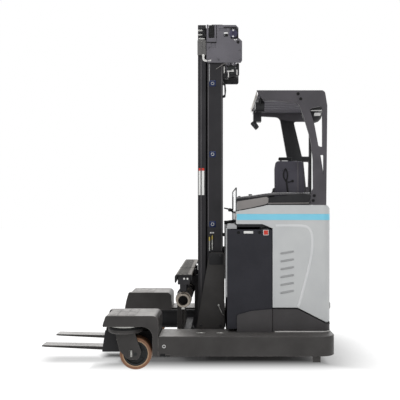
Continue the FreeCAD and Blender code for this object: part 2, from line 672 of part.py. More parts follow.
def seat_back():
    """Plain closed form of the backrest with its narrower head."""
    foot = SEAT_Z + 90 + SEAT_GAP
    outline = [
        # x, z, corner radius
        (SEAT_MID_X - 122, foot, 30),
        (SEAT_MID_X + 122, foot, 30),
        (SEAT_MID_X + 118, foot + 300, 60),
        (SEAT_MID_X + 84, foot + 472, 46),
        (SEAT_MID_X - 84, foot + 472, 46),
        (SEAT_MID_X - 118, foot + 300, 60),
    ]
    return slab("xz", outline, SEAT_BACK_Y - 44 + SEAT_GAP, SEAT_BACK_Y + 40)


def top_rail():
    """Dark rail along the top of the near side panel, with a grey band below it."""
    outer = -BODY_HALF_W
    band_outline = [
        # x, z, corner radius
        (452, BODY_TOP_Z - 40, 0),
        (700, BODY_TOP_Z + SEAT_GAP, 0),
        (1020, BODY_TOP_Z + SEAT_GAP, 0),
        (1020, BODY_TOP_Z + 34, 0),
        (700, BODY_TOP_Z + 32, 120),
        (452, BODY_TOP_Z + 20, 8),
    ]
    rail_outline = [
        # x, z, corner radius
        (446, BODY_TOP_Z + 20, 8),
        (700, BODY_TOP_Z + 32, 120),
        (1020, BODY_TOP_Z + 34, 0),
        (1034, BODY_TOP_Z + 80, 14),
        (960, BODY_TOP_Z + 92, 40),
        (700, BODY_TOP_Z + 60, 120),
        (446, BODY_TOP_Z + 44, 10),
    ]
    band = slab("xz", band_outline, outer, outer + PANEL_T)
    rail = slab("xz", rail_outline, outer - 2, outer + 58)
    return fuse([band, rail])


def guard_frame(outline, holes):
    """Side frame of the overhead guard cut from one plate."""
    frame = slab("xz", outline, 0, GUARD_T)
    for hole in holes:
        frame = frame.cut(slab("xz", hole, -1, GUARD_T + 1))
    return frame


def guard_side_near():
    """Near side frame: curved pillar, rear post and roof wedge with a window and a slot."""
    outline = [
        # x, z, corner radius
        (GUARD_FRONT_X, GUARD_TOP_Z, 0),
        (GUARD_FRONT_X + GUARD_RAKE, GUARD_TOP_Z - 70, 8),
        (934, GUARD_TOP_Z - 101, 50),
        (977, GUARD_TOP_Z - 213, 300),
        (1031, GUARD_TOP_Z - 392, 300),
        (1047, GUARD_TOP_Z - 540, 200),
        (1050, BODY_TOP_Z + SEAT_GAP, 0),
        (GUARD_FOOT_X, BODY_TOP_Z + SEAT_GAP, 0),
        (1160, GUARD_TOP_Z - 120, 60),
        (1140, GUARD_TOP_Z, 30),
    ]
    window = [
        # x, z, corner radius
        (1018, GUARD_TOP_Z - 145, 20),
        (1058, GUARD_TOP_Z - 268, 200),
        (1090, GUARD_TOP_Z - 440, 12),
        (1122, GUARD_TOP_Z - 448, 8),
        (1122, GUARD_TOP_Z - 120, 20),
    ]
    slot = [
        # x, z, corner radius
        (1106, GUARD_TOP_Z - 509, 3),
        (1132, GUARD_TOP_Z - 509, 3),
        (1131, GUARD_TOP_Z - 671, 0),
    ]
    return guard_frame(outline, [window, slot])


def guard_side_far():
    """Far side frame: leaning pillar and upright rear post tied by a cross bar."""
    outline = [
        # x, z, corner radius
        (GUARD_FRONT_X, GUARD_TOP_Z, 0),
        (GUARD_FRONT_X + GUARD_RAKE, GUARD_TOP_Z - 70, 8),
        (872, GUARD_TOP_Z - 82, 50),
        (937, GUARD_TOP_Z - 447, 300),
        (1022, GUARD_TOP_Z - 722, 200),
        (1050, BODY_TOP_Z + SEAT_GAP, 0),
        (GUARD_FOOT_X, BODY_TOP_Z + SEAT_GAP, 0),
        (1170, GUARD_TOP_Z - 120, 60),
        (1146, GUARD_TOP_Z, 30),
    ]
    upper = [
        # x, z, corner radius
        (1000, GUARD_TOP_Z - 122, 20),
        (1078, GUARD_TOP_Z - 447, 10),
        (1144, GUARD_TOP_Z - 447, 8),
        (1144, GUARD_TOP_Z - 122, 20),
    ]
    lower = [
        # x, z, corner radius
        (1092, GUARD_TOP_Z - 497, 8),
        (1140, GUARD_TOP_Z - 497, 8),
        (1134, GUARD_TOP_Z - 780, 6),
        (1120, GUARD_TOP_Z - 780, 6),
    ]
    return guard_frame(outline, [upper, lower])


ROOF_BARS = 6


def guard_roof():
    """Roof grille: front, rear and side tubes with bars across the operator's head."""
    y0 = -BODY_HALF_W + GUARD_T + SEAT_GAP
    y1 = GUARD_FAR_Y - GUARD_T - SEAT_GAP
    top = GUARD_TOP_Z - 4
    x0, x1 = GUARD_FRONT_X + 16, 1136
    front = block(x0, x0 + 46, y0, y1, top - 52, top)
    rear = block(x1 - 46, x1, y0, y1, top - 52, top)
    sides = [block(x0, x1, y, y + 34, top - 40, top) for y in (y0, y1 - 34)]
    pitch = (y1 - y0) / (ROOF_BARS + 1)
    bars = [block(x0 + 20, x1 - 20, y0 + pitch * (i + 1) - 11, y0 + pitch * (i + 1) + 11, top - 36, top - 2)
            for i in range(ROOF_BARS)]
    return fuse([front, rear] + sides + bars)


def lamps():
    """Work lamp and camera under the roof's front edge, each on its bracket, and the cab lamp."""
    low = GUARD_TOP_Z - 4 - 52 - SEAT_GAP
    front = GUARD_FRONT_X + 16
    work = fuse([block(front + 4, front + 36, -575, -545, low - 30, low),
                 rod("x", (-560, low - 62), 44, front - 20, front + 46)])
    camera = fuse([block(front + 4, front + 24, -410, -390, low - 70, low),
                   block(front - 30, front + 34, -436, -364, low - 160, low - 70)])
    cab_low = GUARD_TOP_Z - 4 - 52 - SEAT_GAP
    cab = block(1096, 1132, -330, -230, cab_low - 22, cab_low)
    return [work, camera, cab]


def screen():
    """Clear screen between the mast and the operator, held at the console's front face."""
    outline = [
        # y, z, corner radius
        (-560, BATTERY_TOP_Z + 58, 0),
        (560, BATTERY_TOP_Z + 58, 0),
        (560, BODY_TOP_Z + 142, 40),
        (-560, BODY_TOP_Z + 142, 40),
    ]
    return slab("yz", outline, SIDE_FRONT_X - 1, SIDE_FRONT_X + 6 - SEAT_GAP)


def reach_carriage():
    """Two tapered side plates on rollers, tied by a base beam and rear plates, that carry the mast."""
    rail_z = RAIL_BOTTOM_Z + RAIL_H / 2
    roller_r = RAIL_H / 2 - RAIL_WALL - SEAT_GAP
    plate_outline = [
        # x, z, corner radius
        (MAST_REAR_X - 227, RAIL_BOTTOM_Z + 20, 0),
        (MAST_REAR_X + 13, RAIL_BOTTOM_Z + 20, 0),
        (MAST_REAR_X + 13, 897, 20),
        (MAST_REAR_X - 111, 897, 20),
        (MAST_REAR_X - 221, 266, 60),
    ]
    roller_xs = (MAST_REAR_X - 199, MAST_REAR_X - 39)
    pieces = []
    for sign in (-1, 1):
        low, high = sorted((sign * CARRIAGE_IN_Y, sign * CARRIAGE_Y))
        pieces.append(slab("xz", plate_outline, low, high))
        for x in roller_xs:
            axle_low, axle_high = sorted((sign * CARRIAGE_IN_Y, sign * (RAIL_TIP_Y + 10)))
            pieces.append(rod("y", (x, rail_z), 22, axle_low, axle_high))
            roll_low, roll_high = sorted((sign * (RAIL_TIP_Y + 1), sign * (RAIL_WEB_Y - RAIL_WALL - 4)))
            pieces.append(rod("y", (x, rail_z), roller_r, roll_low, roll_high))
        for z in (250, 780):
            low, high = sorted((sign * MAST_Y, sign * CARRIAGE_IN_Y))
            pieces.append(block(OUTER_FRONT_X + 16, MAST_REAR_X, low, high, z, z + 80))
    base = block(MAST_REAR_X - 199, MAST_REAR_X + 1, -CARRIAGE_IN_Y, CARRIAGE_IN_Y, MAST_BOTTOM_Z - 56, MAST_BOTTOM_Z)
    ties = [block(MAST_REAR_X + 1, MAST_REAR_X + 13, -CARRIAGE_IN_Y, CARRIAGE_IN_Y, z0, z1)
            for z0, z1 in ((MAST_BOTTOM_Z - 56, 420), (800, 890))]
    return fuse([base] + ties + pieces)


def mast_outer():
    """Fixed mast stage: two channels facing each other with three ties at the back."""
    front = OUTER_FRONT_X
    rear = MAST_REAR_X
    profile = [
        # x, y, corner radius
        (front, MAST_Y, 6),
        (rear, MAST_Y, 6),
        (rear, OUTER_TIP_Y, 0),
        (rear - MAST_WALL, OUTER_TIP_Y, 0),
        (rear - MAST_WALL, MAST_Y - MAST_WALL, 8),
        (front + MAST_WALL, MAST_Y - MAST_WALL, 8),
        (front + MAST_WALL, OUTER_TIP_Y, 0),
        (front, OUTER_TIP_Y, 0),
    ]
    channel = slab("xy", profile, MAST_BOTTOM_Z, OUTER_TOP_Z)
    ties = [block(rear - 12, rear, -MAST_Y + MAST_WALL, MAST_Y - MAST_WALL, z, z + 110)
            for z in (MAST_BOTTOM_Z + 200, 1420, OUTER_TOP_Z - 180)]
    return fuse(pair(channel) + ties)


def lift_cylinders():
    """Barrels of the two lift cylinders with their gland nuts, standing in the outer stage."""
    top = MAST_BOTTOM_Z + STAGE_LIFT + 180
    centre = (CYLINDER_X, CYLINDER_Y)
    barrel = fuse([rod("z", centre, CYLINDER_R, MAST_BOTTOM_Z + SEAT_GAP, top),
                   rod("z", centre, CYLINDER_R + 3, top - 60, top)])
    bore = rod("z", centre, LIFT_ROD_R + SEAT_GAP, MAST_BOTTOM_Z + 30, top + 1)
    return pair(barrel.cut(bore))


def lift_rods():
    """Piston rods that push the middle stage's crosshead."""
    return pair(rod("z", (CYLINDER_X, CYLINDER_Y), LIFT_ROD_R, MAST_BOTTOM_Z + 50, MAST_TOP_Z - CROSSHEAD_T))


def mast_middle():
    """Middle stage: stepped rails that run in the outer channels, with crosshead and ties."""
    rear_tip = MAST_Y - MAST_WALL - BODY_GAP
    profile = [
        # x, y, corner radius
        (MID_FRONT_X, MID_FACE_Y, 6),
        (MID_STEP_X, MID_FACE_Y, 6),
        (MID_STEP_X, MID_WEB_Y, 0),
        (MID_FLANGE_X, MID_WEB_Y, 0),
        (MID_FLANGE_X, rear_tip, 4),
        (MID_CROSS_X, rear_tip, 4),
        (MID_CROSS_X, MID_WEB_Y - MID_WEB_T, 0),
        (MID_STEP_X - MID_WEB_T, MID_WEB_Y - MID_WEB_T, 0),
        (MID_STEP_X - MID_WEB_T, MID_FACE_Y - MID_WEB_T, 0),
        (MID_FRONT_X + MID_WEB_T, MID_FACE_Y - MID_WEB_T, 0),
        (MID_FRONT_X + MID_WEB_T, MID_LIP_Y, 0),
        (MID_FRONT_X, MID_LIP_Y, 0),
    ]
    rail = slab("xy", profile, MAST_BOTTOM_Z + 12, MAST_TOP_Z)
    half = rear_tip - 30
    ties = [block(MID_CROSS_X, MID_CROSS_X + MID_CROSS_T, -half, half, z, z + 110)
            for z in (MAST_BOTTOM_Z + 22, 1300, MAST_TOP_Z - 200)]
    crosshead = block(MID_CROSS_X, MAST_REAR_X - 4, -MAST_Y - 8, MAST_Y + 8, MAST_TOP_Z - CROSSHEAD_T, MAST_TOP_Z)
    return fuse(pair(rail) + ties + [crosshead])


def mast_top_plates():
    """Stepped guard plates at the mast head with the hose pulleys on an axle between them."""
    low = MAST_Y + 8
    outline = [
        # x, z, corner radius
        (MAST_REAR_X - 136, MAST_TOP_Z - 291, 0),
        (MAST_REAR_X - 124, MAST_TOP_Z - 317, 0),
        (MAST_REAR_X + 146, MAST_TOP_Z - 317, 0),
        (MAST_REAR_X + 158, MAST_TOP_Z - 300, 0),
        (MAST_REAR_X + 158, MAST_TOP_Z - 140, 0),
        (MAST_REAR_X + 128, MAST_TOP_Z - 112, 0),
        (MAST_REAR_X + 128, MAST_TOP_Z - 30, 0),
        (MAST_REAR_X + 106, MAST_TOP_Z - 7, 0),
        (MAST_REAR_X - 51, MAST_TOP_Z - 7, 0),
        (MAST_REAR_X - 51, MAST_TOP_Z - 117, 0),
        (MAST_REAR_X - 136, MAST_TOP_Z - 117, 0),
    ]
    windows = [
        # low x, high x, low z, high z, from the mast's rear face and top
        (-30, 30, -62, -34),
        (50, 90, -62, -34),
        (-100, -60, -200, -150),
    ]
    plate = slab("xz", outline, low, low + 12)
    for x0, x1, z0, z1 in windows:
        plate = plate.cut(block(MAST_REAR_X + x0, MAST_REAR_X + x1, low - 1, low + 13,
                                MAST_TOP_Z + z0, MAST_TOP_Z + z1))
    axle_at = (MAST_REAR_X + 86, MAST_TOP_Z - 180)
    axle = rod("y", axle_at, 16, -low, low)
    wheels = []
    for y in (low - 34, low - 64):
        wheel = chamfered_disc("y", axle_at, 68, y, y + 24, 6)
        wheels += pair(wheel)
    return fuse(pair(plate) + [axle] + wheels)


def mast_inner():
    """Inner stage: rails guided in the middle stage that open inwards for the fork carriage."""
    guide_front = MID_FRONT_X + MID_WEB_T + RUN_GAP
    guide_rear = MID_STEP_X - MID_WEB_T - RUN_GAP
    guide_tip = MID_FACE_Y - MID_WEB_T - RUN_GAP - 2
    web_in = INNER_WEB_Y - MID_WEB_T
    profile = [
        # x, y, corner radius
        (INNER_FRONT_X, INNER_WEB_Y, 4),
        (guide_front, INNER_WEB_Y, 0),
        (guide_front, guide_tip, 3),
        (guide_rear, guide_tip, 3),
        (guide_rear, INNER_WEB_Y, 0),
        (INNER_REAR_X, INNER_WEB_Y, 4),
        (INNER_REAR_X, INNER_TIP_Y, 0),
        (INNER_REAR_X - MAST_WALL, INNER_TIP_Y, 0),
        (INNER_REAR_X - MAST_WALL, web_in, 0),
        (INNER_FRONT_X + MAST_WALL, web_in, 0),
        (INNER_FRONT_X + MAST_WALL, INNER_TIP_Y, 0),
        (INNER_FRONT_X, INNER_TIP_Y, 0),
    ]
    rail = slab("xy", profile, MAST_BOTTOM_Z + 17, MAST_TOP_Z - 15)
    ties = [block(INNER_REAR_X - 12, INNER_REAR_X, -INNER_TIP_Y - 20, INNER_TIP_Y + 20, z, z + 90)
            for z in (MAST_BOTTOM_Z + 27, 1480, MAST_TOP_Z - 140)]
    foot_z = MAST_BOTTOM_Z + 47
    foot = block(FREE_X - 34, INNER_REAR_X - 12, -45, 45, foot_z - 20, foot_z)
    pad_z = MAST_BOTTOM_Z + 30
    pad = block(guide_front - RUN_GAP + SEAT_GAP, guide_rear + RUN_GAP - SEAT_GAP, guide_tip - 20, guide_tip,
                pad_z, pad_z + PAD_H)
    return fuse(pair(rail) + pair(pad) + ties + [foot])


def free_lift_cylinder():
    """Barrel of the free-lift cylinder on the inner stage."""
    base = MAST_BOTTOM_Z + 47 + SEAT_GAP
    top = base + FREE_LIFT / 2 + 120
    barrel = fuse([rod("z", (FREE_X, 0), 33, base, top), rod("z", (FREE_X, 0), 36, top - 50, top)])
    return barrel.cut(rod("z", (FREE_X, 0), FREE_ROD_R + SEAT_GAP, base + 25, top + 1))


def free_lift_rod():
    """Piston rod of the free-lift cylinder with the chain wheels at its head."""
    base = MAST_BOTTOM_Z + 47 + SEAT_GAP
    top = base + FREE_LIFT / 2 + 120
    shaft = rod("z", (FREE_X, 0), FREE_ROD_R, base + 40, top + 40)
    head = block(FREE_X - 30, FREE_X + 30, -56, 56, top + 30, top + 90)
    axle = rod("y", (FREE_X, top + 60), 12, -92, 92)
    wheels = pair(chamfered_disc("y", (FREE_X, top + 60), 32, 62, 88, 4))
    return fuse([shaft, head, axle] + wheels)


def carriage_frame():
    """Fork carriage: two side plates with rollers in the inner stage, tied by plates at the front."""
    roller_x = (INNER_FRONT_X + INNER_REAR_X) / 2
    roller_r = (INNER_REAR_X - INNER_FRONT_X) / 2 - MAST_WALL - SEAT_GAP
    plate_outline = [
        # x, z, corner radius
        (TILT_X + 24, 190, 12),
        (roller_x + 26, 190, 12),
        (roller_x + 26, TILT_Z + 44, 20),
        (TILT_X - 20, TILT_Z + 34, 20),
        (TILT_X - 20, TILT_Z - 34, 20),
        (TILT_X + 24, TILT_Z - 60, 0),
    ]
    plate = slab("xz", plate_outline, GUIDE_Y - GUIDE_T, GUIDE_Y)
    pieces = pair(plate)
    for z in (240, TILT_Z - 10):
        roller = fuse([rod("y", (roller_x, z), 14, GUIDE_Y, GUIDE_Y + 12),
                       rod("y", (roller_x, z), roller_r, GUIDE_Y + 10, INNER_WEB_Y - MID_WEB_T - RUN_GAP)])
        pieces += pair(roller)
    pieces += pair(rod("y", (TILT_X, TILT_Z), TILT_PIN_R, GUIDE_Y, GUIDE_Y + 21))
    tie_x = TILT_BACK_X + 37
    ties = [block(tie_x, tie_x + 12, -GUIDE_Y + GUIDE_T, GUIDE_Y - GUIDE_T, z0, z1)
            for z0, z1 in ((190, 290), (TILT_Z - 60, TILT_Z + 20))]
    return fuse(pieces + ties)


def bearing_ear(rear_x, low, high):
    """Round ear that holds the cross shaft below the upper box of the tilt frame."""
    return fuse([rod("y", (SHAFT_X, SHAFT_Z), EYE_R + 1, low, high),
                 block(SHAFT_X - 26, rear_x, low, high, SHAFT_Z, SHAFT_Z + 80)])


def tilt_frame():
    """Tilting frame: upper box and lower beam joined by posts, with lugs for the tilt pins and the shaft."""
    box_x = TILT_X - 30
    box_z = COVER_Z - COVER_T
    lip_z = COVER_Z - COVER_LIP - SEAT_GAP
    upper = block(SHAFT_X - 26, box_x, -SHAFT_HALF_L + 18, SHAFT_HALF_L - 18, SHAFT_Z + 69, box_z)
    beam_x = FORK_FACE_X + FORK_T + 5
    lower = block(beam_x, TILT_X - 18, -RAIL_TIP_Y + 46, RAIL_TIP_Y - 46, 90, 210)
    post_y = GUIDE_Y - GUIDE_T - 20
    post = fuse([block(TILT_BACK_X, TILT_BACK_X + 15, post_y - 25, post_y, 90, box_z),
                 block(box_x - 5, TILT_BACK_X + 5, post_y - 25, post_y, lip_z - 30, lip_z),
                 block(TILT_X - 23, TILT_BACK_X + 5, post_y - 25, post_y, 90, 160)])
    lug_outline = [
        # x, z, corner radius
        (box_x - 5, TILT_Z - 30, 0),
        (TILT_X + 26, TILT_Z - 30, 24),
        (TILT_X + 26, TILT_Z + 30, 24),
        (box_x - 5, TILT_Z + 30, 0),
    ]
    lug = slab("xz", lug_outline, GUIDE_Y + 4, GUIDE_Y + 21)
    ear = bearing_ear(box_x, SHAFT_HALF_L - 103, SHAFT_HALF_L - 78)
    middle = bearing_ear(box_x, -9, 9)
    frame = fuse([upper, lower, middle] + pair(post) + pair(lug) + pair(ear))
    pins = rod("y", (TILT_X, TILT_Z), TILT_PIN_R + PIN_FIT, -GUIDE_Y - 30, GUIDE_Y + 30)
    shaft = rod("y", (SHAFT_X, SHAFT_Z), SHAFT_R, -SHAFT_HALF_L, SHAFT_HALF_L)
    return frame.cut(pins).cut(shaft)


def fork_shaft():
    """Hollow cross shaft on which the forks hang and slide."""
    return tube("y", (SHAFT_X, SHAFT_Z), SHAFT_R, SHAFT_BORE_R, -SHAFT_HALF_L, SHAFT_HALF_L)


def cover_plate():
    """Folded tread plate over the shaft, in two lengths with a seam between them."""
    front = SHAFT_X - 62
    rear = SHAFT_X + 67
    profile = [
        # x, z, corner radius
        (front, COVER_Z - 62, 0),
        (front, COVER_Z, 10),
        (rear, COVER_Z, 6),
        (rear, COVER_Z - COVER_LIP, 0),
        (rear - COVER_T, COVER_Z - COVER_LIP, 0),
        (rear - COVER_T, COVER_Z - COVER_T, 0),
        (front + COVER_T, COVER_Z - COVER_T, 4),
        (front + COVER_T, COVER_Z - 62, 0),
    ]
    return slab("xz", profile, -SHAFT_HALF_L, SHAFT_HALF_L)


def fork():
    """Load fork with a tapered blade, an upright shank and an eye round the cross shaft."""
    back_x = FORK_FACE_X + FORK_T
    profile = [
        # x, z, corner radius
        (FORK_FACE_X, FORK_TOP_Z, 12),
        (FORK_TIP_X + 12, FORK_TIP_Z, 0),
        (FORK_TIP_X, FORK_TIP_Z - 5, 0),
        (FORK_TIP_X, FORK_TIP_Z - FORK_TIP_T + 3, 0),
        (FORK_TIP_X + 30, FORK_TIP_Z - FORK_TIP_T - 1, 0),
        (back_x, FORK_TOP_Z - FORK_T, 45),
        (back_x, SHAFT_Z, 0),
        (FORK_FACE_X, SHAFT_Z, 0),
    ]
    body = slab("xz", profile, FORK_Y - FORK_W / 2, FORK_Y + FORK_W / 2)
    shank_head = slab("xz", [(FORK_FACE_X, SHAFT_Z - 70, 0), (back_x, SHAFT_Z - 70, 0), (SHAFT_X, SHAFT_Z - EYE_R, 0),
                             (SHAFT_X, SHAFT_Z + 20, 0), (FORK_FACE_X, SHAFT_Z + 20, 20)],
                      FORK_Y - FORK_W / 2, FORK_Y + FORK_W / 2)
    eye = rod("y", (SHAFT_X, SHAFT_Z), EYE_R, FORK_Y - FORK_W / 2, FORK_Y + FORK_W / 2)
    bore = rod("y", (SHAFT_X, SHAFT_Z), SHAFT_R + PIN_FIT, FORK_Y - FORK_W, FORK_Y + FORK_W)
    return fuse([body, shank_head, eye]).cut(bore)


def main():
    os.makedirs("parts", exist_ok=True)
    save("chassis_frame", chassis_frame())
    save("guide_rails", pair(guide_rail()))
    load_tyre = tyre((LOAD_AXLE_X, LOAD_WHEEL_R), LOAD_WHEEL_R, LOAD_TYRE_T, STEER_Y, LOAD_WHEEL_W, 5.0)
    sided = {
        "leg": leg(),
        "wheel_housing": wheel_housing(),
        "steer_fork": steer_fork(),
        "load_wheel": load_wheel(),
        "load_tyre": load_tyre,
        "fork": fork(),
    }
    for name, shape in sided.items():
        save(name + "_far", shape)
        save(name + "_near", mirrored(shape))
    save("drive_yoke", drive_yoke())
    save("drive_wheel", drive_wheel())
    save("drive_tyre", tyre((DRIVE_X, DRIVE_R), DRIVE_R, DRIVE_TYRE_T, DRIVE_Y, DRIVE_W, 8.0))
    save("battery", battery())
    save("side_panel_near", side_panel_near())
    save("side_panel_far", side_panel_far())
    save("skirts", skirts())
    save("cab_floor", cab_floor())
    save("drive_motor", drive_motor())
    save("rear_cover", rear_cover())
    save("console", console())
    save("steering_wheel", steering_wheel())
    save("seat_base", seat_base())
    save("seat_cushion", seat_cushion())
    save("seat_back", seat_back())
    save("top_rail", top_rail())
    near_frame = guard_side_near()
    near_frame.translate(V(0, -BODY_HALF_W, 0))
    far_frame = guard_side_far()
    far_frame.translate(V(0, GUARD_FAR_Y - GUARD_T, 0))
    save("guard_side_near", near_frame)
    save("guard_side_far", far_frame)
    save("guard_roof", guard_roof())
    save("lamps", lamps())
    save("screen", screen())
    save("reach_carriage", reach_carriage())
    save("mast_outer", mast_outer())
    save("lift_cylinders", lift_cylinders())
    save("lift_rods", lift_rods())
    save("mast_middle", mast_middle())
    save("mast_top_plates", mast_top_plates())
    save("mast_inner", mast_inner())
    save("free_lift_cylinder", free_lift_cylinder())
    save("free_lift_rod", free_lift_rod())
    save("carriage_frame", carriage_frame())
    save("tilt_frame", tilt_frame())
    save("fork_shaft", fork_shaft())
    save("cover_plate", cover_plate())


main()
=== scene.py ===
"""Multidirectional forklift: finishes, fittings, cab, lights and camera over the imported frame."""

from __future__ import annotations

import json
import logging
import math
from dataclasses import dataclass, field
from enum import Enum
from typing import ClassVar

import bpy
from mathutils import Matrix, Vector

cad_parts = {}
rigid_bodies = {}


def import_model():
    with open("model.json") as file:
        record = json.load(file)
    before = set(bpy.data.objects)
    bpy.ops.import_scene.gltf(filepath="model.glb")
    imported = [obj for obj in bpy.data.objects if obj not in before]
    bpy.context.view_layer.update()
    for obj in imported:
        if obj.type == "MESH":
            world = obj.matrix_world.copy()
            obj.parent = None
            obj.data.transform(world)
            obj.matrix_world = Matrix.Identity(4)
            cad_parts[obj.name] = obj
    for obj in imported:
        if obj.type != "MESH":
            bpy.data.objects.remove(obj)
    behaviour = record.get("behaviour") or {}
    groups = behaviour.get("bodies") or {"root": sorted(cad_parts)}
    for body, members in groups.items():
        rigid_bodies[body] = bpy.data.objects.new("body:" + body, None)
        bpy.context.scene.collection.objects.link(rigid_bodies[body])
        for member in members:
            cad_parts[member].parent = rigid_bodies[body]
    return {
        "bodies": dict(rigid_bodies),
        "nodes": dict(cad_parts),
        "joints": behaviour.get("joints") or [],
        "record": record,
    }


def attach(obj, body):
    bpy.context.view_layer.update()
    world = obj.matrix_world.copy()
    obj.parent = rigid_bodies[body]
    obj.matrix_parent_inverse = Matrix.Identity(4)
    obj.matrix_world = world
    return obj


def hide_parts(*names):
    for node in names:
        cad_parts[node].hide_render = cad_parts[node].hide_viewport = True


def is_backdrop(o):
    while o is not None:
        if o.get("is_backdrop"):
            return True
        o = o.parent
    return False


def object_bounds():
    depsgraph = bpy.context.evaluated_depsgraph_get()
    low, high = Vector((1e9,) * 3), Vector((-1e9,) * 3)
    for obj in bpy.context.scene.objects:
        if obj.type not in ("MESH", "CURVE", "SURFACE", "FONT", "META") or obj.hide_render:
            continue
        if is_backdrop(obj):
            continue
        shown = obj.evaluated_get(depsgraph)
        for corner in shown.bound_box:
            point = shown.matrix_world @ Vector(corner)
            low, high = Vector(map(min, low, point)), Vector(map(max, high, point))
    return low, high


LOG = logging.getLogger("forklift")

Point = tuple[float, float, float]
Flat = tuple[float, float]
Colour = tuple[int, int, int]
Socket = bpy.types.NodeSocket
Tree = bpy.types.NodeTree
Piece = bpy.types.Object

MM_PER_M = 1000.0
BEVEL_FROM = math.radians(32)
BEVEL_FACES = 2
SMOOTH_BELOW = math.radians(34)
MERGE_BELOW = 0.00002
# Dust colour for level faces; it also stands in for painted light falling on the tops.
DUST_AND_TOP_LIGHT: Colour = (176, 173, 170)
SCREEN_TINT: Colour = (232, 240, 242)
SIDES = (("near", -1), ("far", 1))
SIDES_OF_NEAR = (("near", 1), ("far", -1))  # signs for places that are already on the near side


class Grain(Enum):
    """Relief that a finish shows up close."""

    PAINT = "paint"
    PLASTIC = "plastic"
    CAST = "cast"
    BRUSHED = "brushed"
    URETHANE = "urethane"
    WEAVE = "weave"
    GRIT = "grit"
    SMOOTH = "smooth"


class Plane(Enum):
    """Plane in which an outline is drawn."""

    XZ = "xz"
    YZ = "yz"
    XY = "xy"


class Axis(Enum):
    """Direction of a round piece."""

    X = "x"
    Y = "y"
    Z = "z"


def metres(point: Point) -> Vector:
    """Millimetres to a vector in metres."""
    return Vector(point) / MM_PER_M


def linear(value: float) -> float:
    """One sRGB channel, 0 to 255, as linear light."""
    share = value / 255.0
    return share / 12.92 if share <= 0.04045 else ((share + 0.055) / 1.055) ** 2.4


def rgba(colour: Colour) -> tuple[float, float, float, float]:
    """An sRGB colour as Blender's linear red, green, blue and alpha."""
    return (linear(colour[0]), linear(colour[1]), linear(colour[2]), 1.0)


@dataclass(frozen=True)
class Finish:
    """A surface finish. Colours are sRGB from 0 to 255, lengths are in metres."""

    name: str
    colour: Colour
    tint: Colour
    grain: Grain
    roughness: float
    metallic: float = 0.0
    # Colour on rounded edges: wear on most finishes, and on the chassis mostly a painted highlight.
    edge_wear_and_highlight: Colour | None = None
    coat: float = 0.0
    sheen: float = 0.0
    shine: float = 0.28
    relief: float = 0.2
    edge: float = 0.003
    patch_scale: float = 5.0
    # Share of dust colour on level faces, which is also painted light on the tops.
    dust_and_top_light: float = 0.0
    slot: str = "trim_plastic"


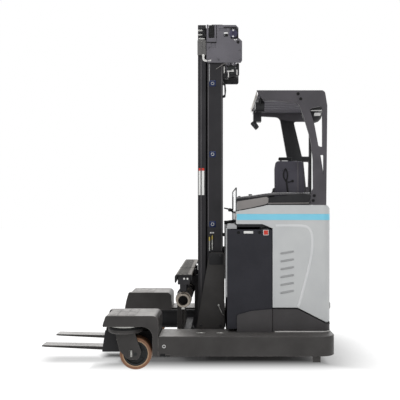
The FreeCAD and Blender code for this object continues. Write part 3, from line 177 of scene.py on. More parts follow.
@dataclass(frozen=True)
class Finishes:
    """Every finish on the truck."""

    # The chassis' wide, light edge colour is mostly a painted highlight along its rounded edges.
    chassis: Finish = Finish("chassis_paint", (66, 64, 63), (56, 54, 53), Grain.CAST, 0.44, edge_wear_and_highlight=(140, 136, 132),
        edge=0.008, dust_and_top_light=0.62)
    panel: Finish = Finish("panel_paint", (196, 198, 198), (190, 192, 193), Grain.PAINT, 0.42, edge_wear_and_highlight=(222, 224, 225),
        coat=0.25, slot="panel_paint")
    stripe: Finish = Finish("stripe_film", (130, 208, 232), (122, 202, 228), Grain.SMOOTH, 0.38, coat=0.2,
        slot="panel_paint")
    battery: Finish = Finish("battery_paint", (39, 39, 46), (33, 33, 40), Grain.PAINT, 0.46, edge_wear_and_highlight=(84, 84, 90))
    mast: Finish = Finish("mast_paint", (42, 41, 44), (34, 33, 36), Grain.PAINT, 0.42, edge_wear_and_highlight=(100, 98, 98), edge=0.004,
        slot="mast_paint")
    head: Finish = Finish("head_paint", (102, 100, 106), (94, 92, 98), Grain.PAINT, 0.48, edge_wear_and_highlight=(134, 132, 134),
        slot="mast_paint")
    guard: Finish = Finish("guard_paint", (80, 77, 82), (70, 68, 72), Grain.PAINT, 0.50, edge_wear_and_highlight=(112, 110, 110),
        slot="guard_paint")
    skirt: Finish = Finish("skirt_plastic", (70, 68, 69), (64, 62, 63), Grain.PLASTIC, 0.56, edge_wear_and_highlight=(96, 94, 94))
    trim: Finish = Finish("trim_plastic", (36, 36, 38), (30, 30, 32), Grain.PLASTIC, 0.52, edge_wear_and_highlight=(62, 62, 64))
    band: Finish = Finish("band_plastic", (138, 134, 132), (128, 125, 123), Grain.PLASTIC, 0.5)
    lamp: Finish = Finish("lamp_plastic", (28, 28, 30), (23, 23, 25), Grain.PLASTIC, 0.40)
    tyre: Finish = Finish("tyre_polyurethane", (148, 108, 82), (126, 90, 68), Grain.URETHANE, 0.46,
        edge_wear_and_highlight=(184, 142, 110))
    bond: Finish = Finish("bonding_layer", (192, 160, 130), (170, 138, 108), Grain.URETHANE, 0.5,
        slot="tyre_polyurethane")
    hub: Finish = Finish("hub_iron", (46, 49, 49), (37, 40, 40), Grain.CAST, 0.52, edge_wear_and_highlight=(92, 92, 90), slot="hub_iron")
    chrome: Finish = Finish("rod_chrome", (214, 214, 218), (200, 200, 205), Grain.BRUSHED, 0.14, metallic=1.0)
    shaft: Finish = Finish("shaft_steel", (176, 168, 158), (142, 134, 124), Grain.BRUSHED, 0.36, metallic=0.85,
        edge_wear_and_highlight=(206, 200, 190), slot="shaft_steel")
    zinc: Finish = Finish("zinc_plate", (196, 196, 192), (170, 170, 166), Grain.BRUSHED, 0.32, metallic=0.9,
        slot="shaft_steel")
    yellow_zinc: Finish = Finish("yellow_zinc", (206, 186, 96), (176, 160, 92), Grain.BRUSHED, 0.34, metallic=0.8,
        slot="shaft_steel")
    fork: Finish = Finish("fork_paint", (58, 56, 54), (48, 46, 45), Grain.CAST, 0.44, edge_wear_and_highlight=(120, 116, 110))
    # Light load faces of the forks: wear, lightened further as a painted highlight.
    fork_top: Finish = Finish("fork_wear_and_highlight_face", (158, 156, 154), (134, 132, 130), Grain.BRUSHED, 0.40, metallic=0.2,
        shine=0.5, slot="fork_paint")
    # Tread colour is set darker as painted reflection of the dark mast on its top face.
    tread: Finish = Finish("tread_steel", (116, 111, 105), (92, 87, 82), Grain.CAST, 0.5, metallic=0.2,
        edge_wear_and_highlight=(184, 178, 170), patch_scale=14.0)
    grip: Finish = Finish("grip_coating", (118, 116, 114), (84, 82, 81), Grain.GRIT, 0.55, relief=0.9,
        patch_scale=16.0, dust_and_top_light=0.45, slot="chassis_paint")
    seat: Finish = Finish("seat_fabric", (48, 50, 62), (40, 42, 54), Grain.WEAVE, 0.86, sheen=0.25, slot="seat_fabric")
    shell: Finish = Finish("seat_shell", (66, 64, 73), (58, 56, 65), Grain.PLASTIC, 0.44)
    motor: Finish = Finish("motor_paint", (40, 40, 42), (32, 32, 34), Grain.CAST, 0.58, edge_wear_and_highlight=(80, 80, 80))
    rubber: Finish = Finish("rubber", (24, 24, 25), (18, 18, 19), Grain.PLASTIC, 0.66)
    white: Finish = Finish("white_film", (232, 232, 230), (226, 226, 224), Grain.SMOOTH, 0.4, slot="shaft_steel")
    red: Finish = Finish("red_film", (206, 66, 52), (196, 58, 46), Grain.SMOOTH, 0.4)
    blue: Finish = Finish("blue_film", (30, 44, 84), (26, 38, 74), Grain.SMOOTH, 0.36, slot="panel_paint")
    pulley: Finish = Finish("pulley_plastic", (66, 64, 86), (56, 54, 76), Grain.PLASTIC, 0.42, slot="mast_paint")
    hose: Finish = Finish("hose_rubber", (26, 26, 27), (20, 20, 21), Grain.SMOOTH, 0.5)
    pipe: Finish = Finish("pale_pipe", (222, 221, 218), (208, 207, 204), Grain.SMOOTH, 0.35, slot="panel_paint")
    mesh: Finish = Finish("vent_shade", (168, 169, 170), (160, 161, 162), Grain.PLASTIC, 0.6, slot="mast_paint")
    # Lighter panel paint for the crease: a painted highlight.
    crease_highlight: Finish = Finish("crease_highlight_paint", (214, 215, 216), (207, 209, 210), Grain.PAINT, 0.42, coat=0.25,
        slot="panel_paint")
    gloss: Finish = Finish("gloss_tube", (62, 60, 63), (54, 52, 55), Grain.SMOOTH, 0.24, coat=0.6, shine=0.5,
        slot="mast_paint")
    carriage: Finish = Finish("carriage_paint", (60, 58, 57), (52, 50, 49), Grain.CAST, 0.48, edge_wear_and_highlight=(100, 98, 96))
    # Lighter mast paint for painted highlights along the channel edges.
    lit: Finish = Finish("mast_edge_highlight", (82, 80, 82), (72, 70, 72), Grain.PAINT, 0.40, slot="mast_paint")
    cast: Finish = Finish("cast_box", (108, 107, 107), (90, 89, 88), Grain.CAST, 0.55, edge_wear_and_highlight=(150, 148, 144),
        relief=0.6, slot="mast_paint")
    display: Finish = Finish("display_glass", (18, 24, 30), (14, 20, 26), Grain.SMOOTH, 0.12, coat=0.5,
        slot="lamp_plastic")


COATS = Finishes()



def span(tree: Tree, value: Socket, low: float, high: float, to_low: float, to_high: float) -> Socket:
    """Adds a clamped map range and gives its result.

    Args:
        tree: Node tree that gets the nodes.
        value: The value to map.
        low: Where the range starts.
        high: Where it ends.
        to_low: Result at the start.
        to_high: Result at the end.

    Returns:
        The result socket.
    """
    node = tree.nodes.new("ShaderNodeMapRange")
    for name, number in (("From Min", low), ("From Max", high), ("To Min", to_low), ("To Max", to_high)):
        node.inputs[name].default_value = number
    tree.links.new(value, node.inputs["Value"])
    return node.outputs["Result"]


def calc(tree: Tree, kind: str, first: Socket | float, second: Socket | float) -> Socket:
    """Adds one math node and gives its result.

    Args:
        tree: Node tree that gets the nodes.
        kind: Blender's name of the operation.
        first: First value or socket.
        second: Second value or socket.

    Returns:
        The result socket.
    """
    node = tree.nodes.new("ShaderNodeMath")
    node.operation = kind
    for place, value in zip(node.inputs, (first, second)):
        if isinstance(value, float):
            place.default_value = value
        else:
            tree.links.new(value, place)
    return node.outputs["Value"]


def axes(tree: Tree, value: Socket) -> bpy.types.NodeOutputs:
    """Splits a vector and gives its X, Y and Z sockets.

    Args:
        tree: Node tree that gets the nodes.
        value: The vector.

    Returns:
        The three sockets by name.
    """
    node = tree.nodes.new("ShaderNodeSeparateXYZ")
    tree.links.new(value, node.inputs["Vector"])
    return node.outputs


class PaintShop:
    """Turns finishes into Blender materials, one each. Pairs are the two ends of a range."""

    coat_rough = 0.25
    bevel_samples = 4
    fine_scale = 38.0
    patch_range = (0.38, 0.66)
    rough_swing = (-0.06, 0.08)
    level_range = (0.80, 0.99)
    # Pairs for the dust and painted top light: its noise break, and its painted darkening behind the mast where the
    # deck reflects the dark body.
    dust_and_top_light_break = (0.30, 0.62, 1.0, 0.62)
    dark_reflection_fade = (0.02, 0.16, 1.0, 0.16)
    edge_wear_and_highlight_range = (0.99, 0.86, 0.0, 0.75)
    chip_range = (0.36, 0.62, 0.15, 1.0)
    grit_scale = 150.0
    brush_stretch = (1.0, 0.04, 1.0)
    brush_scale = 420.0
    weave_scale = 95.0
    weave_drift = 0.6
    screen_alpha = 0.22
    screen_index = 1.49

    def __init__(self) -> None:
        """Starts with no material mixed."""
        self.mixed: dict[str, bpy.types.Material] = {}

    def mix(self, finish: Finish) -> bpy.types.Material:
        """Gives the material of a finish and builds it the first time.

        Args:
            finish: The finish wanted.

        Returns:
            The material.
        """
        if finish.name not in self.mixed:
            self.mixed[finish.name] = self._build(finish)
        return self.mixed[finish.name]

    def _build(self, finish: Finish) -> bpy.types.Material:
        """Builds the node tree of a finish.

        Args:
            finish: The finish to build.

        Returns:
            The new material.
        """
        material = bpy.data.materials.new(finish.name)
        material.use_nodes = True
        tree = material.node_tree
        shader = tree.nodes["Principled BSDF"]
        shader.inputs["Metallic"].default_value = finish.metallic
        shader.inputs["Specular IOR Level"].default_value = finish.shine
        shader.inputs["Coat Weight"].default_value = finish.coat
        shader.inputs["Coat Roughness"].default_value = self.coat_rough
        shader.inputs["Sheen Weight"].default_value = finish.sheen
        place = tree.nodes.new("ShaderNodeTexCoord").outputs["Object"]
        patch = self._noise(tree, place, finish.patch_scale, 5.0)
        blend = span(tree, patch, *self.patch_range, 0.0, 1.0)
        colour = self._mix(tree, blend, rgba(finish.colour), rgba(finish.tint))
        soft = tree.nodes.new("ShaderNodeBevel")
        soft.samples = self.bevel_samples
        soft.inputs["Radius"].default_value = finish.edge
        fine = self._noise(tree, place, self.fine_scale, 3.0)
        rough = span(tree, fine, 0.3, 0.7, *(finish.roughness + swing for swing in self.rough_swing))
        # Edge colour: wear, and on the chassis a painted highlight.
        if finish.edge_wear_and_highlight is not None:
            edge = self._edge_mask(tree, soft, fine)
            colour = self._mix(tree, edge, colour, rgba(finish.edge_wear_and_highlight))
        # Level faces take the dust colour, which is partly painted light on the tops.
        if finish.dust_and_top_light > 0:
            colour = self._mix(tree, self._dust_and_top_light_mask(tree, place, patch, finish.dust_and_top_light), colour, rgba(DUST_AND_TOP_LIGHT))
        tree.links.new(colour, shader.inputs["Base Color"])
        tree.links.new(rough, shader.inputs["Roughness"])
        bump = tree.nodes.new("ShaderNodeBump")
        bump.inputs["Strength"].default_value = finish.relief
        bump.inputs["Distance"].default_value = self._depth(finish.grain)
        tree.links.new(self._relief(tree, place, finish.grain), bump.inputs["Height"])
        tree.links.new(soft.outputs["Normal"], bump.inputs["Normal"])
        tree.links.new(bump.outputs["Normal"], shader.inputs["Normal"])
        return material

    @staticmethod
    def _depth(grain: Grain) -> float:
        """Gives the depth of a grain's relief in metres.

        Args:
            grain: The grain asked for.

        Returns:
            The depth.
        """
        depths = {Grain.PAINT: 0.0004, Grain.PLASTIC: 0.0008, Grain.CAST: 0.0012, Grain.BRUSHED: 0.0003,
                  Grain.URETHANE: 0.0008, Grain.WEAVE: 0.0012, Grain.GRIT: 0.0030, Grain.SMOOTH: 0.0002}
        return depths[grain]

    @staticmethod
    def _noise(tree: Tree, place: Socket, scale: float, detail: float) -> Socket:
        """Adds a noise texture and gives its factor.

        Args:
            tree: Node tree that gets the nodes.
            place: Coordinates.
            scale: Scale of the noise.
            detail: Detail of the noise.

        Returns:
            The factor socket.
        """
        node = tree.nodes.new("ShaderNodeTexNoise")
        node.inputs["Scale"].default_value = scale
        node.inputs["Detail"].default_value = detail
        tree.links.new(place, node.inputs["Vector"])
        return node.outputs["Fac"]

    @staticmethod
    def _mix(tree: Tree, factor: Socket,
             first: Socket | tuple[float, ...], second: tuple[float, ...]) -> Socket:
        """Mixes two colours by a factor and gives the result.

        Args:
            tree: Node tree that gets the nodes.
            factor: Share of the second colour.
            first: First colour or its socket.
            second: Second colour.

        Returns:
            The mixed colour's socket.
        """
        node = tree.nodes.new("ShaderNodeMix")
        node.data_type = "RGBA"
        tree.links.new(factor, node.inputs["Factor"])
        if isinstance(first, tuple):
            node.inputs["A"].default_value = first
        else:
            tree.links.new(first, node.inputs["A"])
        node.inputs["B"].default_value = second
        return node.outputs["Result"]

    def _dust_and_top_light_mask(self, tree: Tree, place: Socket, patch: Socket, share: float) -> Socket:
        """Marks level faces, where dust settles and painted light from above falls, broken up by noise; both thin
        behind the mast as painted reflection of the dark body on the deck.

        Args:
            tree: Node tree that gets the nodes.
            place: Object coordinates.
            patch: Noise that breaks the dust up.
            share: Most dust and painted top light on a level face, 0 to 1.

        Returns:
            The mask socket.
        """
        upright = axes(tree, tree.nodes.new("ShaderNodeNewGeometry").outputs["Normal"])["Z"]
        level = span(tree, upright, *self.level_range, 0.0, share)
        broken = span(tree, patch, *self.dust_and_top_light_break)
        thinner = span(tree, axes(tree, place)["X"], *self.dark_reflection_fade)
        return calc(tree, "MULTIPLY", calc(tree, "MULTIPLY", level, broken), thinner)

    def _edge_mask(self, tree: Tree, soft: bpy.types.Node, fine: Socket) -> Socket:
        """Marks edges for wear, which on the chassis is mostly a painted highlight: where the rounded normal leaves
        the true one, broken up by noise.

        Args:
            tree: Node tree that gets the nodes.
            soft: Bevel node with the rounded normal.
            fine: Noise that breaks the edge up.

        Returns:
            The mask socket.
        """
        true = tree.nodes.new("ShaderNodeNewGeometry")
        dot = tree.nodes.new("ShaderNodeVectorMath")
        dot.operation = "DOT_PRODUCT"
        tree.links.new(soft.outputs["Normal"], dot.inputs[0])
        tree.links.new(true.outputs["Normal"], dot.inputs[1])
        edge = span(tree, dot.outputs["Value"], *self.edge_wear_and_highlight_range)
        chip = span(tree, fine, *self.chip_range)
        return calc(tree, "MULTIPLY", edge, chip)

    def _relief(self, tree: Tree, place: Socket, grain: Grain) -> Socket:
        """Adds the height texture of a grain.

        Args:
            tree: Node tree that gets the nodes.
            place: Object coordinates.
            grain: The grain wanted.

        Returns:
            The height socket.
        """
        if grain is Grain.WEAVE:
            return self._weave(tree, place)
        if grain is Grain.GRIT:
            cells = tree.nodes.new("ShaderNodeTexVoronoi")
            cells.inputs["Scale"].default_value = self.grit_scale
            tree.links.new(place, cells.inputs["Vector"])
            return cells.outputs["Distance"]
        if grain is Grain.BRUSHED:
            stretch = tree.nodes.new("ShaderNodeMapping")
            stretch.inputs["Scale"].default_value = self.brush_stretch
            tree.links.new(place, stretch.inputs["Vector"])
            return self._noise(tree, stretch.outputs["Vector"], self.brush_scale, 2.0)
        scales = {Grain.PAINT: 260.0, Grain.PLASTIC: 520.0, Grain.CAST: 210.0, Grain.URETHANE: 120.0,
            Grain.SMOOTH: 60.0}
        return self._noise(tree, place, scales[grain], 2.0)

    def _weave(self, tree: Tree, place: Socket) -> Socket:
        """Crosses two wave textures into a woven cloth's relief.

        Args:
            tree: Node tree that gets the nodes.
            place: Coordinates.

        Returns:
            The height socket.
        """
        heights = []
        for direction in ("X", "Z"):
            wave = tree.nodes.new("ShaderNodeTexWave")
            wave.bands_direction = direction
            wave.inputs["Scale"].default_value = self.weave_scale
            wave.inputs["Distortion"].default_value = self.weave_drift
            tree.links.new(place, wave.inputs["Vector"])
            heights.append(wave.outputs["Fac"])
        return calc(tree, "MAXIMUM", *heights)

    def clear_sheet(self) -> bpy.types.Material:
        """Builds the clear screen's material.

        Returns:
            A thin, slightly tinted glass.
        """
        material = bpy.data.materials.new("screen_clear")
        material.use_nodes = True
        tree = material.node_tree
        shader = tree.nodes["Principled BSDF"]
        shader.inputs["Base Color"].default_value = rgba(SCREEN_TINT)
        shader.inputs["Alpha"].default_value = self.screen_alpha
        shader.inputs["IOR"].default_value = self.screen_index
        place = tree.nodes.new("ShaderNodeTexCoord").outputs["Object"]
        smear = self._noise(tree, place, 9.0, 3.0)
        tree.links.new(span(tree, smear, 0.3, 0.7, 0.04, 0.12), shader.inputs["Roughness"])
        return material


def rounded(outline: list[tuple[float, float, float]], steps: int = 5) -> list[Flat]:
    """Turns corners with radii into points.

    Args:
        outline: Corners as u, v and corner radius.
        steps: Pieces in each rounded corner.

    Returns:
        The outline's points.
    """
    points: list[Flat] = []
    count = len(outline)
    for i, (u, v, radius) in enumerate(outline):
        if radius <= 0:
            points.append((u, v))
            continue
        corner = Vector((u, v))
        back = (Vector(outline[i - 1][:2]) - corner).normalized()
        ahead = (Vector(outline[(i + 1) % count][:2]) - corner).normalized()
        half = back.angle(ahead) / 2
        middle = (back + ahead).normalized()
        centre = corner + middle * (radius / math.sin(half))
        start = corner + back * (radius / math.tan(half)) - centre
        turn = start.angle_signed(corner + ahead * (radius / math.tan(half)) - centre)
        for step in range(steps + 1):
            arm = Matrix.Rotation(-turn * step / steps, 2) @ start
            points.append((centre.x + arm.x, centre.y + arm.y))
    return points


def pane(u0: float, u1: float, v0: float, v1: float, radius: float, steps: int = 5) -> list[Flat]:
    """Gives a rectangle with four equal round corners.

    Args:
        u0: Low side in u.
        u1: High side in u.
        v0: Low side in v.
        v1: High side in v.
        radius: Radius of the corners.
        steps: Pieces in each rounded corner.

    Returns:
        The outline's points.
    """
    return rounded([(u0, v0, radius), (u1, v0, radius), (u1, v1, radius), (u0, v1, radius)], steps)


@dataclass
class Bench:
    """Blender's modelling tools, which every sub-assembly works with. Sizes are in millimetres."""

    home: ClassVar[str] = "chassis"

    paints: PaintShop
    booked: int = field(default=0, init=False)

    @staticmethod
    def clear() -> None:
        """Goes to object mode with nothing selected."""
        if bpy.context.mode != "OBJECT":
            bpy.ops.object.mode_set(mode="OBJECT")
        bpy.ops.object.select_all(action="DESELECT")

    def take(self, *pieces: Piece) -> None:
        """Selects these pieces only and makes the first one active."""
        self.clear()
        for piece in pieces:
            piece.select_set(True)
        bpy.context.view_layer.objects.active = pieces[0]

    @staticmethod
    def edit() -> None:
        """Opens the active piece in edit mode, all of it selected."""
        bpy.ops.object.mode_set(mode="EDIT")
        bpy.ops.mesh.select_all(action="SELECT")

    @staticmethod
    def leave() -> None:
        """Turns every face outwards and goes back to object mode."""
        bpy.ops.mesh.select_all(action="SELECT")
        bpy.ops.mesh.normals_make_consistent(inside=False)
        bpy.ops.object.mode_set(mode="OBJECT")

    @staticmethod
    def spot(plane: Plane, u: float, v: float, w: float) -> Vector:
        """A point of a plane's outline in metres, w being the height over the plane."""
        places = {Plane.XZ: (u, w, v), Plane.YZ: (w, u, v), Plane.XY: (u, v, w)}
        return metres(places[plane])

    def settle(self, piece: Piece, name: str) -> Piece:
        """Names a piece and moves its place into its mesh.

        Args:
            piece: The piece to work on.
            name: Name of the piece.

        Returns:
            The piece.
        """
        self.take(piece)
        bpy.ops.object.transform_apply(location=True, rotation=True, scale=True)
        piece.name = name
        return piece

    def apply(self, piece: Piece, kind: str, **settings: object) -> Piece:
        """Adds a modifier with its settings and applies it.

        Args:
            piece: The piece to work on.
            kind: Blender's modifier type.
            settings: Values set on the modifier.

        Returns:
            The piece.
        """
        self.take(piece)
        modifier = piece.modifiers.new(kind.lower(), kind)
        for key, value in settings.items():
            setattr(modifier, key, value)
        bpy.ops.object.modifier_apply(modifier=modifier.name)
        return piece

    def soften(self, piece: Piece, edge: float) -> Piece:
        """Rounds the sharp edges of a piece and smooths its shading.

        Args:
            piece: The piece to work on.
            edge: Width of the rounding, 0 for none.

        Returns:
            The piece.
        """
        if edge > 0:
            self.apply(piece, "BEVEL", width=edge / MM_PER_M, segments=BEVEL_FACES, limit_method="ANGLE",
                       angle_limit=BEVEL_FROM, use_clamp_overlap=True)
        self.take(piece)
        bpy.ops.object.shade_smooth_by_angle(angle=SMOOTH_BELOW)
        return piece

    def block(self, name: str, low: Point, high: Point, edge: float = 1.5) -> Piece:
        """A box between two corners with rounded edges.

        Args:
            name: Name of the piece.
            low: Low corner.
            high: High corner.
            edge: Width of the rounding.

        Returns:
            The box.
        """
        self.clear()
        bpy.ops.mesh.primitive_cube_add(size=1.0, location=(metres(low) + metres(high)) / 2)
        piece = bpy.context.active_object
        piece.scale = metres(high) - metres(low)
        return self.soften(self.settle(piece, name), edge)

    def plate(self, name: str, plane: Plane, outline: list[Flat], low: float, high: float,
              edge: float = 1.0) -> Piece:
        """A flat piece with any outline, extruded between two heights over its plane.

        Args:
            name: Name of the piece.
            plane: Plane of the outline.
            outline: Points of the outline.
            low: Height it starts at.
            high: Height it ends at.
            edge: Width of the rounding.

        Returns:
            The plate.
        """
        self.clear()
        bpy.ops.mesh.primitive_circle_add(vertices=len(outline), radius=1.0, fill_type="NGON")
        piece = bpy.context.active_object
        for vertex, (u, v) in zip(piece.data.vertices, outline):
            vertex.co = self.spot(plane, u, v, low)
        self.edit()
        bpy.ops.mesh.extrude_region_move(TRANSFORM_OT_translate={"value": self.spot(plane, 0, 0, high - low)})
        self.leave()
        return self.soften(self.settle(piece, name), edge)

    def slab(self, name: str, corners: list[tuple[float, float, float]], low: float, high: float, edge: float = 1.0,
             steps: int = 5) -> Piece:
        """An upright plate along the truck, with rounded corners.

        Args:
            name: Name of the piece.
            corners: Corners as x, z and corner radius.
            low: Where it starts in Y.
            high: Where it ends in Y.
            edge: Width of the rounding of its edges.
            steps: Pieces in each rounded corner.

        Returns:
            The plate.
        """
        return self.plate(name, Plane.XZ, rounded(corners, steps), low, high, edge)

    def turned(self, name: str, axis: Axis, centre: Point, profile: list[Flat], steps: int = 40) -> Piece:
        """A turned piece.

        Args:
            name: Name of the piece.
            axis: Axis of the lathe.
            centre: A point on the axis; the profile's heights count from it.
            profile: Closed loop of radius and height along the axis.
            steps: Faces round the axis.

        Returns:
            The piece.
        """
        along = {Axis.X: Vector((1, 0, 0)), Axis.Y: Vector((0, 1, 0)), Axis.Z: Vector((0, 0, 1))}[axis]
        out = Vector((0, 0, 1)) if axis is not Axis.Z else Vector((1, 0, 0))
        self.clear()
        bpy.ops.mesh.primitive_circle_add(vertices=len(profile), radius=1.0, fill_type="NOTHING")
        piece = bpy.context.active_object
        for vertex, (radius, height) in zip(piece.data.vertices, profile):
            vertex.co = metres(centre) + (out * radius + along * height) / MM_PER_M
        self.edit()
        bpy.ops.mesh.spin(steps=steps, angle=math.tau, center=metres(centre), axis=along)
        bpy.ops.mesh.select_all(action="SELECT")
        bpy.ops.mesh.remove_doubles(threshold=MERGE_BELOW)
        bpy.ops.mesh.dissolve_degenerate(threshold=0.00001)
        self.leave()
        return self.soften(self.settle(piece, name), 0)

    def disc(self, name: str, axis: Axis, centre: Point, radius: float, height: float, edge: float = 1.0,
             steps: int = 40) -> Piece:
        """A disc with bevelled rims that starts at the centre and runs along the axis.

        Args:
            name: Name of the piece.
            axis: Axis that it runs along.
            centre: Middle of its first face.
            radius: Its radius.
            height: Its length, with its sign.
            edge: Bevel of the rims.
            steps: Faces round the axis.

        Returns:
            The disc.
        """
        rim = min(edge, radius / 3, abs(height) / 3)
        lift = math.copysign(rim, height)
        profile = [(0, 0), (radius - rim, 0), (radius, lift), (radius, height - lift), (radius - rim, height),
            (0, height)]
        return self.turned(name, axis, centre, profile, steps)

    def collar(self, name: str, axis: Axis, centre: Point, outer: float, inner: float, height: float,
               edge: float = 1.0, steps: int = 40) -> Piece:
        """A ring with bevelled outer rims that starts at the centre and runs along the axis.

        Args:
            name: Name of the piece.
            axis: Axis that it runs along.
            centre: Middle of its first face.
            outer: Outer radius.
            inner: Inner radius.
            height: Its length, with its sign.
            edge: Bevel of the rims.
            steps: Faces round the axis.

        Returns:
            The ring.
        """
        rim = min(edge, (outer - inner) / 3, abs(height) / 3)
        lift = math.copysign(rim, height)
        profile = [(inner, 0), (outer - rim, 0), (outer, lift), (outer, height - lift), (outer - rim, height),
            (inner, height)]
        return self.turned(name, axis, centre, profile, steps)

    def line(self, name: str, points: list[Point], radius: float, sides: int = 3) -> Piece:
        """A pipe or bead of one radius along a smooth route through control points.

        Args:
            name: Name of the piece.
            points: Control points of the route.
            radius: Radius of the pipe.
            sides: Fineness of its round section.

        Returns:
            The pipe.
        """
        self.clear()
        bpy.ops.curve.primitive_nurbs_path_add()
        piece = bpy.context.active_object
        route = piece.data
        route.splines.clear()
        spline = route.splines.new("NURBS")
        spline.points.add(len(points) - 1)
        for spot, point in zip(spline.points, points):
            spot.co = (*metres(point), 1.0)
        spline.order_u = 3
        spline.use_endpoint_u = True
        spline.resolution_u = 6
        route.dimensions = "3D"
        route.bevel_depth = radius / MM_PER_M
        route.bevel_resolution = sides
        route.use_fill_caps = True
        self.take(piece)
        bpy.ops.object.convert(target="MESH")
        piece = bpy.context.active_object
        return self.soften(self.settle(piece, name), 0)

    def hexagon(self, name: str, axis: Axis, centre: Point, across: float, height: float) -> Piece:
        """A hexagon head on a washer, standing on the centre and pointing along the axis.

        Args:
            name: Name of the piece.
            axis: Axis that it runs along.
            centre: Middle of its foot.
            across: Width of the head.
            height: Its height, with its sign.

        Returns:
            The head with its washer.
        """
        washer = self.disc(name + "_washer", axis, centre, across * 0.62, math.copysign(1.6, height), 0.4, 20)
        head = self.turned(name, axis, centre,
            [(0, 0), (across * 0.56, 0), (across * 0.56, height * 0.86), (across * 0.48, height), (0, height)], 6)
        return self.join(name, [head, washer])

    def socket_screw(self, name: str, axis: Axis, centre: Point, radius: float, height: float) -> Piece:
        """A round screw head with a hollow socket.

        Args:
            name: Name of the piece.
            axis: Axis that it runs along.
            centre: Middle of its foot.
            radius: Its radius.
            height: Its height, with its sign.

        Returns:
            The screw head.
        """
        profile = [(0, height * 0.45), (radius * 0.48, height * 0.45), (radius * 0.52, height),
            (radius * 0.86, height),
                   (radius, height * 0.8), (radius, 0), (0, 0)]
        return self.turned(name, axis, centre, profile, 20)

    def join(self, name: str, pieces: list[Piece]) -> Piece:
        """Joins pieces into one object.

        Args:
            name: Name of the piece.
            pieces: The pieces to join; they are used up.

        Returns:
            The joined piece.
        """
        self.take(*pieces)
        if len(pieces) > 1:
            bpy.ops.object.join()
        piece = bpy.context.active_object
        piece.name = name
        return piece

    def copies(self, name: str, piece: Piece, moves: list[Point]) -> Piece:
        """Repeats a piece at each move from its own place and joins the lot.

        Args:
            name: Name of the joined piece.
            piece: The piece that is repeated; it is used up.
            moves: Offsets in millimetres, with (0, 0, 0) for the piece's own place.

        Returns:
            The joined piece.
        """
        made = []
        for move in moves:
            self.take(piece)
            bpy.ops.object.duplicate(linked=False)
            twin = bpy.context.active_object
            twin.location = metres(move)
            bpy.ops.object.transform_apply(location=True, rotation=False, scale=False)
            made.append(twin)
        bpy.data.objects.remove(piece)
        return self.join(name, made)

    def mirrored(self, name: str, piece: Piece) -> Piece:
        """A mirror image of a piece on the other side of the truck.

        Args:
            name: Name of the mirror image.
            piece: The piece to mirror.

        Returns:
            The mirror image.
        """
        self.take(piece)
        bpy.ops.object.duplicate(linked=False)
        twin = bpy.context.active_object
        twin.scale = (1, -1, 1)
        bpy.ops.object.transform_apply(location=False, rotation=False, scale=True)
        self.edit()
        self.leave()
        twin.name = name
        return twin

    def cut(self, piece: Piece, tools: list[Piece]) -> Piece:
        """Cuts the tools out of a piece and throws them away.

        Args:
            piece: The piece to work on.
            tools: Pieces to cut with; they are used up.

        Returns:
            The piece.
        """
        for tool in tools:
            self.apply(piece, "BOOLEAN", object=tool, operation="DIFFERENCE", solver="EXACT")
            bpy.data.objects.remove(tool)
        self.take(piece)
        bpy.ops.object.shade_smooth_by_angle(angle=SMOOTH_BELOW)
        return piece

    def book(self, piece: Piece, finish: Finish, slot: str = "", body: str = "") -> Piece:
        """Paints a piece and hangs it on its body.

        Args:
            piece: The finished piece.
            finish: Its finish.
            slot: Not used.
            body: The body it moves with, where it isn't the assembly's own.

        Returns:
            The piece.
        """
        piece.data.materials.clear()
        piece.data.materials.append(self.paints.mix(finish))
        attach(piece, body or self.home)
        self.booked += 1
        LOG.info("%s rides on %s", piece.name, body or self.home)
        return piece

    def fit(self, name: str, pieces: list[Piece], finish: Finish, slot: str = "", body: str = "") -> Piece:
        """Joins pieces into one and books it.

        Args:
            name: Name of the joined piece.
            pieces: The pieces to join.
            finish: Its finish.
            slot: The record's slot, where it isn't the finish's usual one.
            body: The body it moves with, where it isn't the assembly's own.

        Returns:
            The joined piece.
        """
        return self.book(self.join(name, pieces), finish, slot, body)

    def both(self, near: Piece, name: str, finish: Finish, slot: str = "") -> None:
        """Books a near piece and its mirror image.

        Args:
            near: The piece on the near side.
            name: Name that both get, with their side added.
            finish: Their finish.
            slot: The record's slot, where it isn't the finish's usual one.
        """
        far = self.mirrored(name + "_far", near)
        near.name = name + "_near"
        for piece in (near, far):
            self.book(piece, finish, slot)


